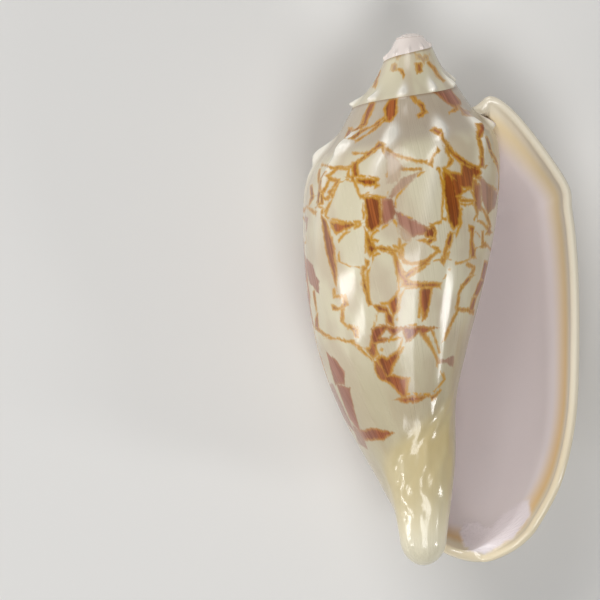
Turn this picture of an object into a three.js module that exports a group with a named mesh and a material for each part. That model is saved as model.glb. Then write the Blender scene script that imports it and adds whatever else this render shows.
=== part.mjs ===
// A volute shell: one natural piece, lying on its back with the opening up.
// Millimetres, +Z up, the apex toward +Y, the lip toward +X.
import * as THREE from 'three';

// Size and growth. Heights are measured along the shell's axis from the pillar's tip.
const SHELL_LENGTH = 90;
const WHORL_GROWTH = 1.6;
const VANISHING_HEIGHT = 93.4;
const WHORLS = 5.2;

// The wall at the lip, and the swelling inside it: its thickness, and the angles of its peak and end.
const WALL = 1.5;
const LIP_SWELL = 1.45;
const LIP_PEAK = 22;
const LIP_END = 100;

// Cross-sections through the axis as [radius, height], at an angle in degrees back from the lip.
// Point 0 is the suture, which is found from the whorl before, so only points 1 to 10 are listed:
// ramp, shoulder, five down the belly, two down the base, and the front end.
const RING_RADIUS = 4.0;
const RING_HEIGHT = 4.8;
const SHOULDER = 2;
const FRONT_END = 10;
const SECTIONS = [
  { angle: 0, points: [[15.4, 78.3], [25.2, 65.3], [26.6, 59.1], [27.3, 49.4], [27.2, 36.8],
    [26.3, 24.1], [23.7, 13.6], [19.7, 6.0], [17.5, 3.0], [15.6, 0.9]] },
  { angle: 40, points: [[17.6, 68.7], [22.8, 61.8], [23.9, 56.7], [24.9, 48.6], [25.4, 36.8],
    [25.3, 24.9], [23.5, 16.1], [19.5, 7.6], [16.3, 3.2], [12.2, 0.0]] },
  { angle: 100, points: [[16.3, 69.9], [19.9, 63.7], [21.1, 58.7], [22.1, 50.5], [22.4, 39.6],
    [21.7, 29.0], [19.2, 20.5], [13.2, 11.4], [8.6, 7.5], [RING_RADIUS, RING_HEIGHT]] },
  { angle: 180, points: [[13.0, 72.6], [16.5, 67.9], [18.2, 63.5], [18.8, 55.4], [18.4, 46.4],
    [16.4, 36.3], [12.4, 26.5], [6.5, 15.6], [4.9, 10.4], [RING_RADIUS, RING_HEIGHT]] },
  { angle: 360, points: [[10.2, 77.0], [13.2, 73.3], [14.1, 70.1], [14.2, 64.7], [13.2, 56.2],
    [10.8, 46.1], [8.1, 36.8], [6.1, 27.8], [5.7, 17.3], [RING_RADIUS, RING_HEIGHT]] },
];

// Older sections are the same shape, smaller, except for the pillar that each is built around:
// its last three points at each angle.
const PILLAR = [
  { angle: 540, points: [[6.1, 34.2], [5.8, 20.7], [RING_RADIUS, RING_HEIGHT]] },
  { angle: 720, points: [[4.3, 50.0], [4.4, 40.0], [4.6, 26.0]] },
  { angle: 900, points: [[3.4, 58.0], [3.6, 50.0], [3.8, 36.0]] },
];
const OLDEST_ANGLE = 900;

// The suture climbs above the shoulder of the whorl before over the last part of the lip.
const CLIMB_ANGLE = 50;
const CLIMB_TOP = 0.95;

// Nodules on the shoulder, fading toward the lip.
const NODULE_STEP = 36.5;
const NODULE_HEIGHT = 0.09;
const NODULE_SHARPNESS = 3;
const NODULE_FADE = [60, 190];

// The blunt embryonic shell at the apex.
const DOME_RADIUS = 3.6;
const DOME_HEIGHT = 3.5;
const DOME_REACH = 14;
const WAIST = 0.12;
const WAIST_DEPTH = 10;
const WAIST_WIDTH = 4;

// The front rim: its notch, how far the lip's edge sweeps back to meet it, and the edge's rounding.
const NOTCH_ANGLE = 87;
const FRONT_SWEEP = 34;
const SWEEP_START = 6.5;
const RIM_ROUND = 0.6;
const RIM_FADE = 3;

// The hollow: how far back it goes, its floor's height at the notch, and how far the outer face
// is below the floor. Its roof meets the old whorl below the suture and the ramp past its start,
// both as places along the section, the first at the lip and the second past the roof's angle.
const HOLLOW_ANGLE = 420;
const FLOOR_HEIGHT = 6.1;
const FLOOR_DROP = 1.3;
const ROOF_BELOW_SUTURE = [0.33, 1.25];
const ROOF_ON_RAMP = [0, 0.85];
const ROOF_ANGLE = 60;

// How the shell lies: turned about its own axis, then the apex end lowered.
const REST_ROLL = -5.8;
const REST_PITCH = -5.5;

// Mesh resolution.
const COLUMNS = 54;
const RAMP_ROWS = 5;
const ROWS = 22;
const RIM_STEPS = 2;
const TIP_ROWS = 3;
const COLUMN_STEP = 360 / COLUMNS;
const LAST_COLUMN = Math.round(COLUMNS * WHORLS);
const NOTCH_COLUMN = Math.round(NOTCH_ANGLE / COLUMN_STEP);
const HOLLOW_COLUMN = Math.round(HOLLOW_ANGLE / COLUMN_STEP);
const LIP_ROW = RAMP_ROWS + RIM_STEPS;
const FLOOR_ROW = ROWS - RIM_STEPS;

const { lerp, smoothstep, degToRad } = THREE.MathUtils;

function scaleFromApex([radius, height], factor) {
  return [radius * factor, VANISHING_HEIGHT + (height - VANISHING_HEIGHT) * factor];
}

// The measured sections and the older ones that repeat them a whorl earlier.
function keySections() {
  const keys = [...SECTIONS];
  for (const pillar of PILLAR) {
    const later = keys.find((key) => key.angle === pillar.angle - 360);
    const points = later.points.map((point) => scaleFromApex(point, 1 / WHORL_GROWTH));
    points.splice(-pillar.points.length, pillar.points.length, ...pillar.points);
    keys.push({ angle: pillar.angle, points });
  }
  return keys;
}

const KEYS = keySections();

// Slope at a key that never overshoots the keys on either side.
function keySlope(index, values) {
  if (index === 0 || index === KEYS.length - 1) {
    const start = index === 0 ? 0 : index - 1;
    return (values[start + 1] - values[start]) / (KEYS[start + 1].angle - KEYS[start].angle);
  }
  const before = KEYS[index].angle - KEYS[index - 1].angle;
  const after = KEYS[index + 1].angle - KEYS[index].angle;
  const rise = (values[index] - values[index - 1]) / before;
  const next = (values[index + 1] - values[index]) / after;
  if (rise * next <= 0) {
    return 0;
  }
  const weightRise = 2 * after + before;
  const weightNext = after + 2 * before;
  return (weightRise + weightNext) / (weightRise / rise + weightNext / next);
}

function betweenKeys(angle, values) {
  let index = 0;
  while (index < KEYS.length - 2 && angle > KEYS[index + 1].angle) {
    index += 1;
  }
  const span = KEYS[index + 1].angle - KEYS[index].angle;
  const u = (angle - KEYS[index].angle) / span;
  const startSlope = keySlope(index, values) * span;
  const endSlope = keySlope(index + 1, values) * span;
  const rise = values[index + 1] - values[index];
  const bend = 3 * rise - 2 * startSlope - endSlope;
  const twist = startSlope + endSlope - 2 * rise;
  return values[index] + u * (startSlope + u * (bend + u * twist));
}

// Where the next suture sits on a section: on the shoulder, and higher where the lip climbs.
function suturePlace(angle) {
  const away = Math.abs(angle - 360) / CLIMB_ANGLE;
  return lerp(CLIMB_TOP, SHOULDER, smoothstep(away, 0, 1));
}

function sectionPoints(angle) {
  const turns = Math.max(0, Math.ceil((angle - OLDEST_ANGLE) / 360 - 1e-9));
  const factor = WHORL_GROWTH ** -turns;
  const points = [null];
  for (let c = 0; c < FRONT_END; c += 1) {
    const radius = betweenKeys(angle - 360 * turns, KEYS.map((key) => key.points[c][0]));
    const height = betweenKeys(angle - 360 * turns, KEYS.map((key) => key.points[c][1]));
    points.push(scaleFromApex([radius, height], factor));
  }
  if (angle < CLIMB_ANGLE) {
    points[0] = curvePoint(sectionPoints(angle + 360), suturePlace(angle + 360));
  } else {
    points[0] = scaleFromApex(points[SHOULDER], 1 / WHORL_GROWTH);
  }
  return points;
}

// A smooth curve through the section's points; place 0 is the first point, 1 the second, and so on.
function curvePoint(points, place) {
  const last = points.length - 1;
  const start = Math.min(Math.floor(place), last - 1);
  const u = place - start;
  const at = (index, k) => {
    if (index < 0) {
      return 2 * points[0][k] - points[1][k];
    }
    if (index > last) {
      return 2 * points[last][k] - points[last - 1][k];
    }
    return points[index][k];
  };
  return [0, 1].map((k) => {
    const [p0, p1, p2, p3] = [-1, 0, 1, 2].map((step) => at(start + step, k));
    const bend = 2 * p0 - 5 * p1 + 4 * p2 - p3;
    const twist = 3 * p1 - p0 - 3 * p2 + p3;
    return 0.5 * (2 * p1 + u * (p2 - p0 + u * (bend + u * twist)));
  });
}

// How far a nodule stands out at a place on the section.
function noduleRise(angle, place, radius) {
  const phase = 2 * Math.PI * (angle - 180) / NODULE_STEP;
  const around = Math.exp(NODULE_SHARPNESS * (Math.cos(phase) - 1));
  const onSpire = smoothstep(angle, 330, 380);
  const peak = lerp(SHOULDER, SHOULDER - 0.25, onSpire);
  const above = lerp(0.5, 0.35, onSpire);
  const below = lerp(0.8, 0.16, onSpire);
  const width = place < peak ? above : below;
  const along = Math.exp(-(((place - peak) / width) ** 2));
  const fade = smoothstep(angle, NODULE_FADE[0], NODULE_FADE[1]);
  return NODULE_HEIGHT * radius * around * along * fade;
}

// Rounds the spiral's point into the dome of the embryonic shell.
function roundApex([radius, height]) {
  const depth = VANISHING_HEIGHT - height;
  const u = Math.min(depth / DOME_REACH, 1);
  const domeHeight = SHELL_LENGTH - DOME_HEIGHT * (1 - Math.cos(u * Math.PI / 2));
  const cone = radius / Math.max(depth, 1e-6);
  const domeRadius = DOME_RADIUS * Math.sin(u * Math.PI / 2) * cone / 0.64;
  const outside = smoothstep(depth, 0.3 * DOME_REACH, DOME_REACH);
  const waist = 1 - WAIST * Math.exp(-(((depth - WAIST_DEPTH) / WAIST_WIDTH) ** 2));
  return [lerp(domeRadius, radius * waist, outside), lerp(domeHeight, height, outside)];
}

function shellPoint(angle, place, nodules = true) {
  const [radius, height] = curvePoint(sectionPoints(angle), place);
  const rise = nodules ? noduleRise(angle, place, radius) : 0;
  const [r, z] = roundApex([radius + rise, height]);
  const turn = degToRad(angle);
  return new THREE.Vector3(r * Math.cos(turn), r * Math.sin(turn), z);
}

// The direction out of the shell's outer face.
function outward(angle, place) {
  const step = 0.02;
  const low = Math.max(0, place - step);
  const high = Math.min(FRONT_END, place + step);
  const along = shellPoint(angle, high, false).sub(shellPoint(angle, low, false));
  const around = shellPoint(angle + 0.5, place, false).sub(shellPoint(Math.max(0, angle - 0.5), place, false));
  return along.cross(around).normalize();
}

// The lip's edge runs straight down and curves back at the front, so the rim turns without a corner.
function sweptAngle(angle, place) {
  const left = Math.max(0, 1 - angle / NOTCH_ANGLE);
  const u = Math.max(0, place - SWEEP_START) / (FRONT_END - SWEEP_START);
  return angle + FRONT_SWEEP * left * left * (1 - Math.sqrt(1 - u * u));
}

// The height where the hollow's floor meets the pillar; it climbs with the whorls.
function floorHeight(angle) {
  const turns = Math.max(0, angle - NOTCH_ANGLE) / 360;
  return scaleFromApex([0, FLOOR_HEIGHT], WHORL_GROWTH ** -turns)[1];
}

// The place below the belly where a section comes down to a height.
function placeAtHeight(angle, height) {
  const points = sectionPoints(angle);
  let above = SHOULDER;
  let below = FRONT_END;
  for (let n = 0; n < 24; n += 1) {
    const middle = (above + below) / 2;
    if (curvePoint(points, middle)[1] > height) {
      above = middle;
    } else {
      below = middle;
    }
  }
  return below;
}

// Where the hollow's roof sits along a section.
function roofPlace([atLip, inside], angle) {
  return lerp(atLip, inside, smoothstep(angle, 0, ROOF_ANGLE));
}

// Places down a column: the ramp, the lip's thickness, the belly and base, and the front rim's thickness.
function rowPlaces(angle) {
  const ramp = suturePlace(angle);
  const lip = ramp + roofPlace(ROOF_BELOW_SUTURE, angle - 360);
  const floor = placeAtHeight(Math.max(angle, 360 + NOTCH_ANGLE), floorHeight(angle - 360));
  const places = [];
  for (let j = 0; j <= ROWS; j += 1) {
    if (j <= RAMP_ROWS) {
      places.push(ramp * j / RAMP_ROWS);
    } else if (j <= LIP_ROW) {
      places.push(lerp(ramp, lip, (j - RAMP_ROWS) / RIM_STEPS));
    } else if (j <= FLOOR_ROW) {
      places.push(lerp(lip, floor, (j - LIP_ROW) / (FLOOR_ROW - LIP_ROW)));
    } else {
      places.push(lerp(floor, FRONT_END, (j - FLOOR_ROW) / RIM_STEPS));
    }
  }
  return places;
}

class ShellMesh {
  constructor() {
    this.points = [];
    this.triangles = [];
  }

  add(point) {
    this.points.push(point);
    return this.points.length - 1;
  }

  triangle(a, b, c) {
    if (a !== b && b !== c && c !== a) {
      this.triangles.push(a, b, c);
    }
  }

  quad(a, b, c, d) {
    this.triangle(a, b, c);
    this.triangle(a, c, d);
  }

  // Faces between two columns of points, rows from first to last.
  strip(column, next, first, last) {
    for (let j = first; j < last; j += 1) {
      this.quad(column[j], column[j + 1], next[j + 1], next[j]);
    }
  }
}

// The outer face and the old whorl's wall inside the hollow, by column from the lip to the apex.
function addOuterFace(mesh) {
  const outer = [];
  for (let i = LAST_COLUMN; i >= 0; i -= 1) {
    const angle = i * COLUMN_STEP;
    outer[i] = rowPlaces(angle).map((place, j) => {
      if (j === 0 && i + COLUMNS <= LAST_COLUMN) {
        return outer[i + COLUMNS][RAMP_ROWS];
      }
      if (j === ROWS && i === NOTCH_COLUMN) {
        return outer[i + COLUMNS][ROWS];
      }
      const inWall = i > COLUMNS && j > RAMP_ROWS && j < LIP_ROW;
      const inSolid = i > COLUMNS + HOLLOW_COLUMN && j > RAMP_ROWS;
      const belowFloor = i > COLUMNS + NOTCH_COLUMN && j > FLOOR_ROW;
      if (inWall || inSolid || belowFloor) {
        return -1;
      }
      return mesh.add(shellPoint(sweptAngle(angle, place), place));
    });
  }
  for (let i = 0; i < LAST_COLUMN; i += 1) {
    const onSpire = i >= COLUMNS;
    mesh.strip(outer[i], outer[i + 1], 0, onSpire ? RAMP_ROWS : ROWS);
    if (onSpire && i < COLUMNS + HOLLOW_COLUMN) {
      mesh.strip(outer[i], outer[i + 1], LIP_ROW, i < COLUMNS + NOTCH_COLUMN ? ROWS : FLOOR_ROW);
    }
  }
  return outer;
}

function closeApex(mesh, outer) {
  const pole = mesh.add(new THREE.Vector3(0, 0, SHELL_LENGTH));
  for (let i = LAST_COLUMN - COLUMNS; i < LAST_COLUMN; i += 1) {
    mesh.triangle(outer[i][0], outer[i + 1][0], pole);
  }
  for (let j = 0; j < RAMP_ROWS; j += 1) {
    mesh.triangle(outer[LAST_COLUMN][j], outer[LAST_COLUMN][j + 1], pole);
  }
}

// The rounded tip of the pillar, below the ring where the outer face ends.
function closePillar(mesh, outer) {
  let ring = [];
  for (let i = NOTCH_COLUMN; i <= NOTCH_COLUMN + COLUMNS; i += 1) {
    ring.push(outer[i][ROWS]);
  }
  for (let k = 1; k <= TIP_ROWS; k += 1) {
    const bend = k / TIP_ROWS * Math.PI / 2;
    const below = ring.slice(0, -1).map((_, n) => {
      if (k === TIP_ROWS) {
        return n === 0 ? mesh.add(new THREE.Vector3(0, 0, 0)) : mesh.points.length - 1;
      }
      const turn = degToRad((NOTCH_COLUMN + n) * COLUMN_STEP);
      const radius = RING_RADIUS * Math.cos(bend);
      const height = RING_HEIGHT * (1 - Math.sin(bend));
      return mesh.add(new THREE.Vector3(radius * Math.cos(turn), radius * Math.sin(turn), height));
    });
    below.push(below[0]);
    for (let n = 0; n < COLUMNS; n += 1) {
      mesh.quad(ring[n], below[n], below[n + 1], ring[n + 1]);
    }
    ring = below;
  }
}

// A point on the inside of the wall, behind a place on the outer face.
function behindFace(angle, place) {
  const swept = sweptAngle(angle, place);
  const swell = smoothstep(angle, 0, LIP_PEAK) * (1 - smoothstep(angle, LIP_PEAK, LIP_END));
  const thickness = WALL * WHORL_GROWTH ** (-angle / 360) + LIP_SWELL * swell;
  return shellPoint(swept, place, false).addScaledVector(outward(swept, place), -thickness);
}

// One column of the inner face, pulled in at its ends to meet the old whorl and the pillar.
function innerColumn(mesh, outer, i) {
  const angle = i * COLUMN_STEP;
  const start = roofPlace(ROOF_ON_RAMP, angle);
  const end = angle > NOTCH_ANGLE ? placeAtHeight(angle, floorHeight(angle) - FLOOR_DROP) : FRONT_END;
  const roof = mesh.points[outer[COLUMNS + i][LIP_ROW]].clone().sub(behindFace(angle, start));
  const floor = new THREE.Vector3();
  if (i >= NOTCH_COLUMN) {
    floor.copy(mesh.points[outer[COLUMNS + i][FLOOR_ROW]]).sub(behindFace(angle, end));
  }
  return rowPlaces(180).map((row) => {
    const place = lerp(start, end, row / FRONT_END);
    const point = behindFace(angle, place);
    point.addScaledVector(roof, 1 - smoothstep(place, start, start + 0.6));
    point.addScaledVector(floor, smoothstep(place, end - 0.8, end));
    return point;
  });
}

function addInnerFace(mesh, outer) {
  const inner = [];
  for (let i = 0; i <= HOLLOW_COLUMN; i += 1) {
    inner[i] = innerColumn(mesh, outer, i).map((point, j) => {
      if (j === 0) {
        return outer[COLUMNS + i][LIP_ROW];
      }
      if (j === ROWS && i >= NOTCH_COLUMN) {
        return outer[COLUMNS + i][FLOOR_ROW];
      }
      return mesh.add(point);
    });
  }
  for (let i = 0; i < HOLLOW_COLUMN; i += 1) {
    mesh.strip(inner[i + 1], inner[i], 0, ROWS);
  }
  return inner;
}

// Rounded points across the wall's edge, from the outer face to the inner one.
function rimPoints(mesh, from, to, forward, round) {
  const rim = [from];
  for (let k = 1; k < RIM_STEPS; k += 1) {
    const u = k / RIM_STEPS;
    const point = mesh.points[from].clone().lerp(mesh.points[to], u);
    rim.push(mesh.add(point.addScaledVector(forward, round * Math.sin(u * Math.PI))));
  }
  rim.push(to);
  return rim;
}

// The edge of the wall: down the lip, then along the front to the notch.
function addRim(mesh, outer, inner) {
  const edge = [];
  for (let j = 0; j <= ROWS; j += 1) {
    edge.push({ i: 0, j });
  }
  for (let i = 1; i <= NOTCH_COLUMN; i += 1) {
    edge.push({ i, j: ROWS });
  }
  const rims = edge.map(({ i, j }, n) => {
    if (n === 0) {
      return outer[COLUMNS].slice(RAMP_ROWS, LIP_ROW + 1);
    }
    if (n === edge.length - 1) {
      return outer[COLUMNS + i].slice(FLOOR_ROW, ROWS + 1).reverse();
    }
    const before = mesh.points[outer[edge[n - 1].i][edge[n - 1].j]];
    const after = mesh.points[outer[edge[n + 1].i][edge[n + 1].j]];
    const across = mesh.points[inner[i][j]].clone().sub(mesh.points[outer[i][j]]);
    const forward = across.clone().cross(after.clone().sub(before)).normalize();
    const round = RIM_ROUND * smoothstep(NOTCH_COLUMN - i, 0, RIM_FADE);
    return rimPoints(mesh, outer[i][j], inner[i][j], forward, round);
  });
  for (let n = 0; n < rims.length - 1; n += 1) {
    mesh.strip(rims[n], rims[n + 1], 0, RIM_STEPS);
  }
}

// Closes the deep end of the hollow between the old whorl's wall and the inner face.
function closeHollow(mesh, outer, inner) {
  const wall = outer[COLUMNS + HOLLOW_COLUMN].slice(LIP_ROW, FLOOR_ROW + 1);
  const face = inner[HOLLOW_COLUMN];
  let a = 0;
  let b = 0;
  while (a < wall.length - 1 || b < face.length - 1) {
    const wallNext = (a + 1) / (wall.length - 1);
    const faceNext = (b + 1) / (face.length - 1);
    if (faceNext <= wallNext) {
      mesh.triangle(wall[a], face[b + 1], face[b]);
      b += 1;
    } else {
      mesh.triangle(wall[a], wall[a + 1], face[b]);
      a += 1;
    }
  }
}

function buildShell() {
  const mesh = new ShellMesh();
  const outer = addOuterFace(mesh);
  closeApex(mesh, outer);
  closePillar(mesh, outer);
  const inner = addInnerFace(mesh, outer);
  addRim(mesh, outer, inner);
  closeHollow(mesh, outer, inner);
  return mesh;
}

// Lays the shell on its back and puts it on the ground, centred.
function layDown(geometry) {
  geometry.rotateZ(degToRad(REST_ROLL));
  geometry.rotateX(degToRad(-90));
  geometry.rotateX(degToRad(REST_PITCH));
  geometry.computeBoundingBox();
  const { min, max } = geometry.boundingBox;
  geometry.translate(-(min.x + max.x) / 2, -(min.y + max.y) / 2, -min.z);
}

function shellGeometry() {
  const mesh = buildShell();
  const geometry = new THREE.BufferGeometry();
  geometry.setAttribute('position', new THREE.Float32BufferAttribute(mesh.points.flatMap((p) => p.toArray()), 3));
  geometry.setIndex(mesh.triangles);
  layDown(geometry);
  geometry.computeVertexNormals();
  return geometry;
}

const SHELL_MATERIAL = new THREE.MeshStandardMaterial({ color: 0xd8c29a, roughness: 0.3, metalness: 0 });

const group = new THREE.Group();
const shell = new THREE.Mesh(shellGeometry(), SHELL_MATERIAL);
shell.name = 'volute_shell';
group.add(shell);

export default group;
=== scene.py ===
from math import cos, pi, radians, sin

import bpy
import numpy as np
from mathutils import Matrix, Vector


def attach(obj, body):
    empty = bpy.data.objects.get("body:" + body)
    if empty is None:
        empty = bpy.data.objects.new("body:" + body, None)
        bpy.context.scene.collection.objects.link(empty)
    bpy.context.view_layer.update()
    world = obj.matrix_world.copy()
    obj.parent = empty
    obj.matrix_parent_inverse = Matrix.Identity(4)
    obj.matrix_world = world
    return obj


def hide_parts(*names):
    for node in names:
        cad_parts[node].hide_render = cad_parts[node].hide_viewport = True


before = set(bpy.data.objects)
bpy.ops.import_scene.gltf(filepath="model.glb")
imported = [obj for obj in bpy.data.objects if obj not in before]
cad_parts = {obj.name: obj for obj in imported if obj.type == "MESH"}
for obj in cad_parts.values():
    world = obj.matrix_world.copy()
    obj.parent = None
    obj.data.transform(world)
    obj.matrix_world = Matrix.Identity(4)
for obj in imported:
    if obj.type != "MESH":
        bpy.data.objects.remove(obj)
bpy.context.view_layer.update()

# Millimetres in a metre.
METRE = 1000

# The shell's shape, in millimetres. Heights are along its axis from the pillar's tip.
SHELL_LENGTH = 90.0
WHORL_GROWTH = 1.6
VANISHING_HEIGHT = 93.4
WHORLS = 5.2

# The wall at the lip, and the swelling inside it: its thickness, and the angles of its peak and end.
WALL = 1.5
LIP_SWELL = 1.45
LIP_PEAK = 22
LIP_END = 100

# Cross-sections as (radius, height) at angles in degrees back from the lip. Place 0 on a section
# is the suture, which comes from the whorl before; places 1 to 10 are listed.
RING_RADIUS = 4.0
RING_HEIGHT = 4.8
SHOULDER = 2
FRONT_END = 10
SECTIONS = {
    0: [(15.4, 78.3), (25.2, 65.3), (26.6, 59.1), (27.3, 49.4), (27.2, 36.8),
        (26.3, 24.1), (23.7, 13.6), (19.7, 6.0), (17.5, 3.0), (15.6, 0.9)],
    40: [(17.6, 68.7), (22.8, 61.8), (23.9, 56.7), (24.9, 48.6), (25.4, 36.8),
         (25.3, 24.9), (23.5, 16.1), (19.5, 7.6), (16.3, 3.2), (12.2, 0.0)],
    100: [(16.3, 69.9), (19.9, 63.7), (21.1, 58.7), (22.1, 50.5), (22.4, 39.6),
          (21.7, 29.0), (19.2, 20.5), (13.2, 11.4), (8.6, 7.5), (RING_RADIUS, RING_HEIGHT)],
    180: [(13.0, 72.6), (16.5, 67.9), (18.2, 63.5), (18.8, 55.4), (18.4, 46.4),
          (16.4, 36.3), (12.4, 26.5), (6.5, 15.6), (4.9, 10.4), (RING_RADIUS, RING_HEIGHT)],
    360: [(10.2, 77.0), (13.2, 73.3), (14.1, 70.1), (14.2, 64.7), (13.2, 56.2),
          (10.8, 46.1), (8.1, 36.8), (6.1, 27.8), (5.7, 17.3), (RING_RADIUS, RING_HEIGHT)],
}

# Older sections repeat these, smaller, around a pillar of their own: its last three points.
PILLAR = {
    540: [(6.1, 34.2), (5.8, 20.7), (RING_RADIUS, RING_HEIGHT)],
    720: [(4.3, 50.0), (4.4, 40.0), (4.6, 26.0)],
    900: [(3.4, 58.0), (3.6, 50.0), (3.8, 36.0)],
}
OLDEST_ANGLE = 900

# Over the last degrees before the lip the suture climbs above the shoulder of the whorl before, up to
# a place on its section.
CLIMB_ANGLE = 50
CLIMB_TOP = 0.95

# Nodules on the shoulder, with a fold below each. They fade toward the lip between two angles. The
# peak's place and its widths above and below are given for the body and then for the spire, which
# takes over between two more angles.
NODULE_START = 180
NODULE_STEP = 36.5
NODULE_HEIGHT = 0.13
NODULE_SHARPNESS = 3.5
NODULE_FADE = (60, 190)
NODULE_PEAK = (SHOULDER - 0.5, SHOULDER - 0.25)
NODULE_ABOVE = (0.4, 0.35)
NODULE_BELOW = (0.45, 0.16)
SPIRE_ANGLES = (330, 380)
FOLD_SHARE = 0.35
FOLD_RISE = 0.8
FOLD_REACH = 2.2
FOLD_LEAN = -5.0

# Folds in the glaze: the angles and places where they start and end, how many there are in a turn,
# their heights, and how far they wander as they run down.
GLAZE_START = (200, 225)
GLAZE_END = (325, 350)
GLAZE_TOP = (7.0, 7.8)
GLAZE_FOOT = (9.5, 9.95)
RIDGES = 9
RIDGE_HEIGHT = 0.09
RIPPLES = 17
RIPPLE_HEIGHT = 0.03
RIPPLE_LEAN = 200
WANDERS = [(25, 2.3), (9, 7.1)]

# The blunt embryonic shell at the apex, the spire's radius for each millimetre down from where it
# would vanish, and the waist below the embryonic shell.
DOME_RADIUS = 3.6
DOME_HEIGHT = 3.5
DOME_REACH = 14
DOME_TOP = 0.3
SPIRE_SLOPE = 0.64
WAIST = 0.12
WAIST_DEPTH = 10
WAIST_WIDTH = 4

# The front rim: its notch, how far the lip's edge sweeps back to meet it, and the edge's rounding.
NOTCH_ANGLE = 87
FRONT_SWEEP = 34
SWEEP_START = 6.5
RIM_ROUND = 0.6
RIM_FADE = 12

# The hollow: how far back it goes, its floor's height at the notch, and how far the outer face is
# below the floor. Its roof meets the old whorl below the suture and the ramp past its start, both as
# places along the section, the first at the lip and the second past the roof's angle. The inner face
# is pulled to the roof and the floor over part of a place.
HOLLOW_ANGLE = 200
FLOOR_HEIGHT = 6.1
FLOOR_DROP = 1.3
FLOOR_FADE = 0.8
ROOF_BELOW_SUTURE = (0.33, 1.25)
ROOF_ON_RAMP = (0, 0.85)
ROOF_ANGLE = 60
ROOF_FADE = 0.6

# Degrees that the lying shell is turned about its axis, and that its apex end is lowered.
REST_ROLL = -5.8
REST_PITCH = -5.5

# Mesh resolution.
COLUMNS = 240
RAMP_ROWS = 30
ROWS = 126
RIM_STEPS = 6
TIP_ROWS = 8
COLUMN_STEP = 360 / COLUMNS
LAST_COLUMN = round(COLUMNS * WHORLS)
NOTCH_COLUMN = round(NOTCH_ANGLE / COLUMN_STEP)
HOLLOW_COLUMN = round(HOLLOW_ANGLE / COLUMN_STEP)
LIP_ROW = RAMP_ROWS + RIM_STEPS
FLOOR_ROW = ROWS - RIM_STEPS


def lerp(start, end, share):
    return start + (end - start) * share


def smoothstep(value, low, high):
    share = np.clip((value - low) / (high - low), 0, 1)
    return share * share * (3 - 2 * share)


def scale_from_apex(points, factor):
    radius = points[..., 0] * factor
    height = VANISHING_HEIGHT + (points[..., 1] - VANISHING_HEIGHT) * factor
    return np.stack([radius, height], axis=-1)


def key_sections():
    angles = list(SECTIONS)
    points = [np.array(section) for section in SECTIONS.values()]
    for angle, pillar in PILLAR.items():
        older = scale_from_apex(points[angles.index(angle - 360)], 1 / WHORL_GROWTH)
        older[-len(pillar):] = pillar
        angles.append(angle)
        points.append(older)
    return np.array(angles, float), np.array(points)


KEY_ANGLES, KEY_POINTS = key_sections()


# Slopes at the keys that never overshoot the keys on either side.
def key_slopes():
    spans = np.diff(KEY_ANGLES)[:, None, None]
    rises = np.diff(KEY_POINTS, axis=0) / spans
    slopes = np.zeros_like(KEY_POINTS)
    slopes[0] = rises[0]
    slopes[-1] = rises[-1]
    weight_before = 2 * spans[1:] + spans[:-1]
    weight_after = spans[1:] + 2 * spans[:-1]
    same_way = rises[:-1] * rises[1:] > 0
    before = np.where(same_way, rises[:-1], 1)
    after = np.where(same_way, rises[1:], 1)
    mean = (weight_before + weight_after) / (weight_before / before + weight_after / after)
    slopes[1:-1] = np.where(same_way, mean, 0)
    return slopes


KEY_SLOPES = key_slopes()


def between_keys(angle):
    index = np.searchsorted(KEY_ANGLES[1:-1], angle)
    span = (KEY_ANGLES[index + 1] - KEY_ANGLES[index])[:, None, None]
    u = (angle - KEY_ANGLES[index])[:, None, None] / span
    start_slope = KEY_SLOPES[index] * span
    end_slope = KEY_SLOPES[index + 1] * span
    rise = KEY_POINTS[index + 1] - KEY_POINTS[index]
    bend = 3 * rise - 2 * start_slope - end_slope
    twist = start_slope + end_slope - 2 * rise
    return KEY_POINTS[index] + u * (start_slope + u * (bend + u * twist))


# Where the next suture sits on a section: on the shoulder, and higher where the lip climbs.
def suture_place(angle):
    away = np.abs(angle - 360) / CLIMB_ANGLE
    return lerp(CLIMB_TOP, SHOULDER, smoothstep(away, 0, 1))


def section_points(angle):
    turns = np.maximum(0, np.ceil((angle - OLDEST_ANGLE) / 360 - 1e-9))
    factor = WHORL_GROWTH ** -turns
    listed = scale_from_apex(between_keys(angle - 360 * turns), factor[:, None])
    suture = scale_from_apex(listed[:, SHOULDER - 1], 1 / WHORL_GROWTH)
    climbing = angle < CLIMB_ANGLE
    if climbing.any():
        older = angle[climbing] + 360
        suture[climbing] = curve_point(section_points(older), suture_place(older))
    return np.concatenate([suture[:, None], listed], axis=1)


# A smooth curve through each section's points, at a place along it.
def curve_point(points, place):
    before = 2 * points[:, :1] - points[:, 1:2]
    after = 2 * points[:, -1:] - points[:, -2:-1]
    padded = np.concatenate([before, points, after], axis=1)
    start = np.minimum(np.floor(place).astype(int), FRONT_END - 1)
    u = (place - start)[:, None]
    each = np.arange(len(place))
    p0, p1, p2, p3 = (padded[each, start + step] for step in range(4))
    bend = 2 * p0 - 5 * p1 + 4 * p2 - p3
    twist = 3 * p1 - p0 - 3 * p2 + p3
    return 0.5 * (2 * p1 + u * (p2 - p0 + u * (bend + u * twist)))


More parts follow.
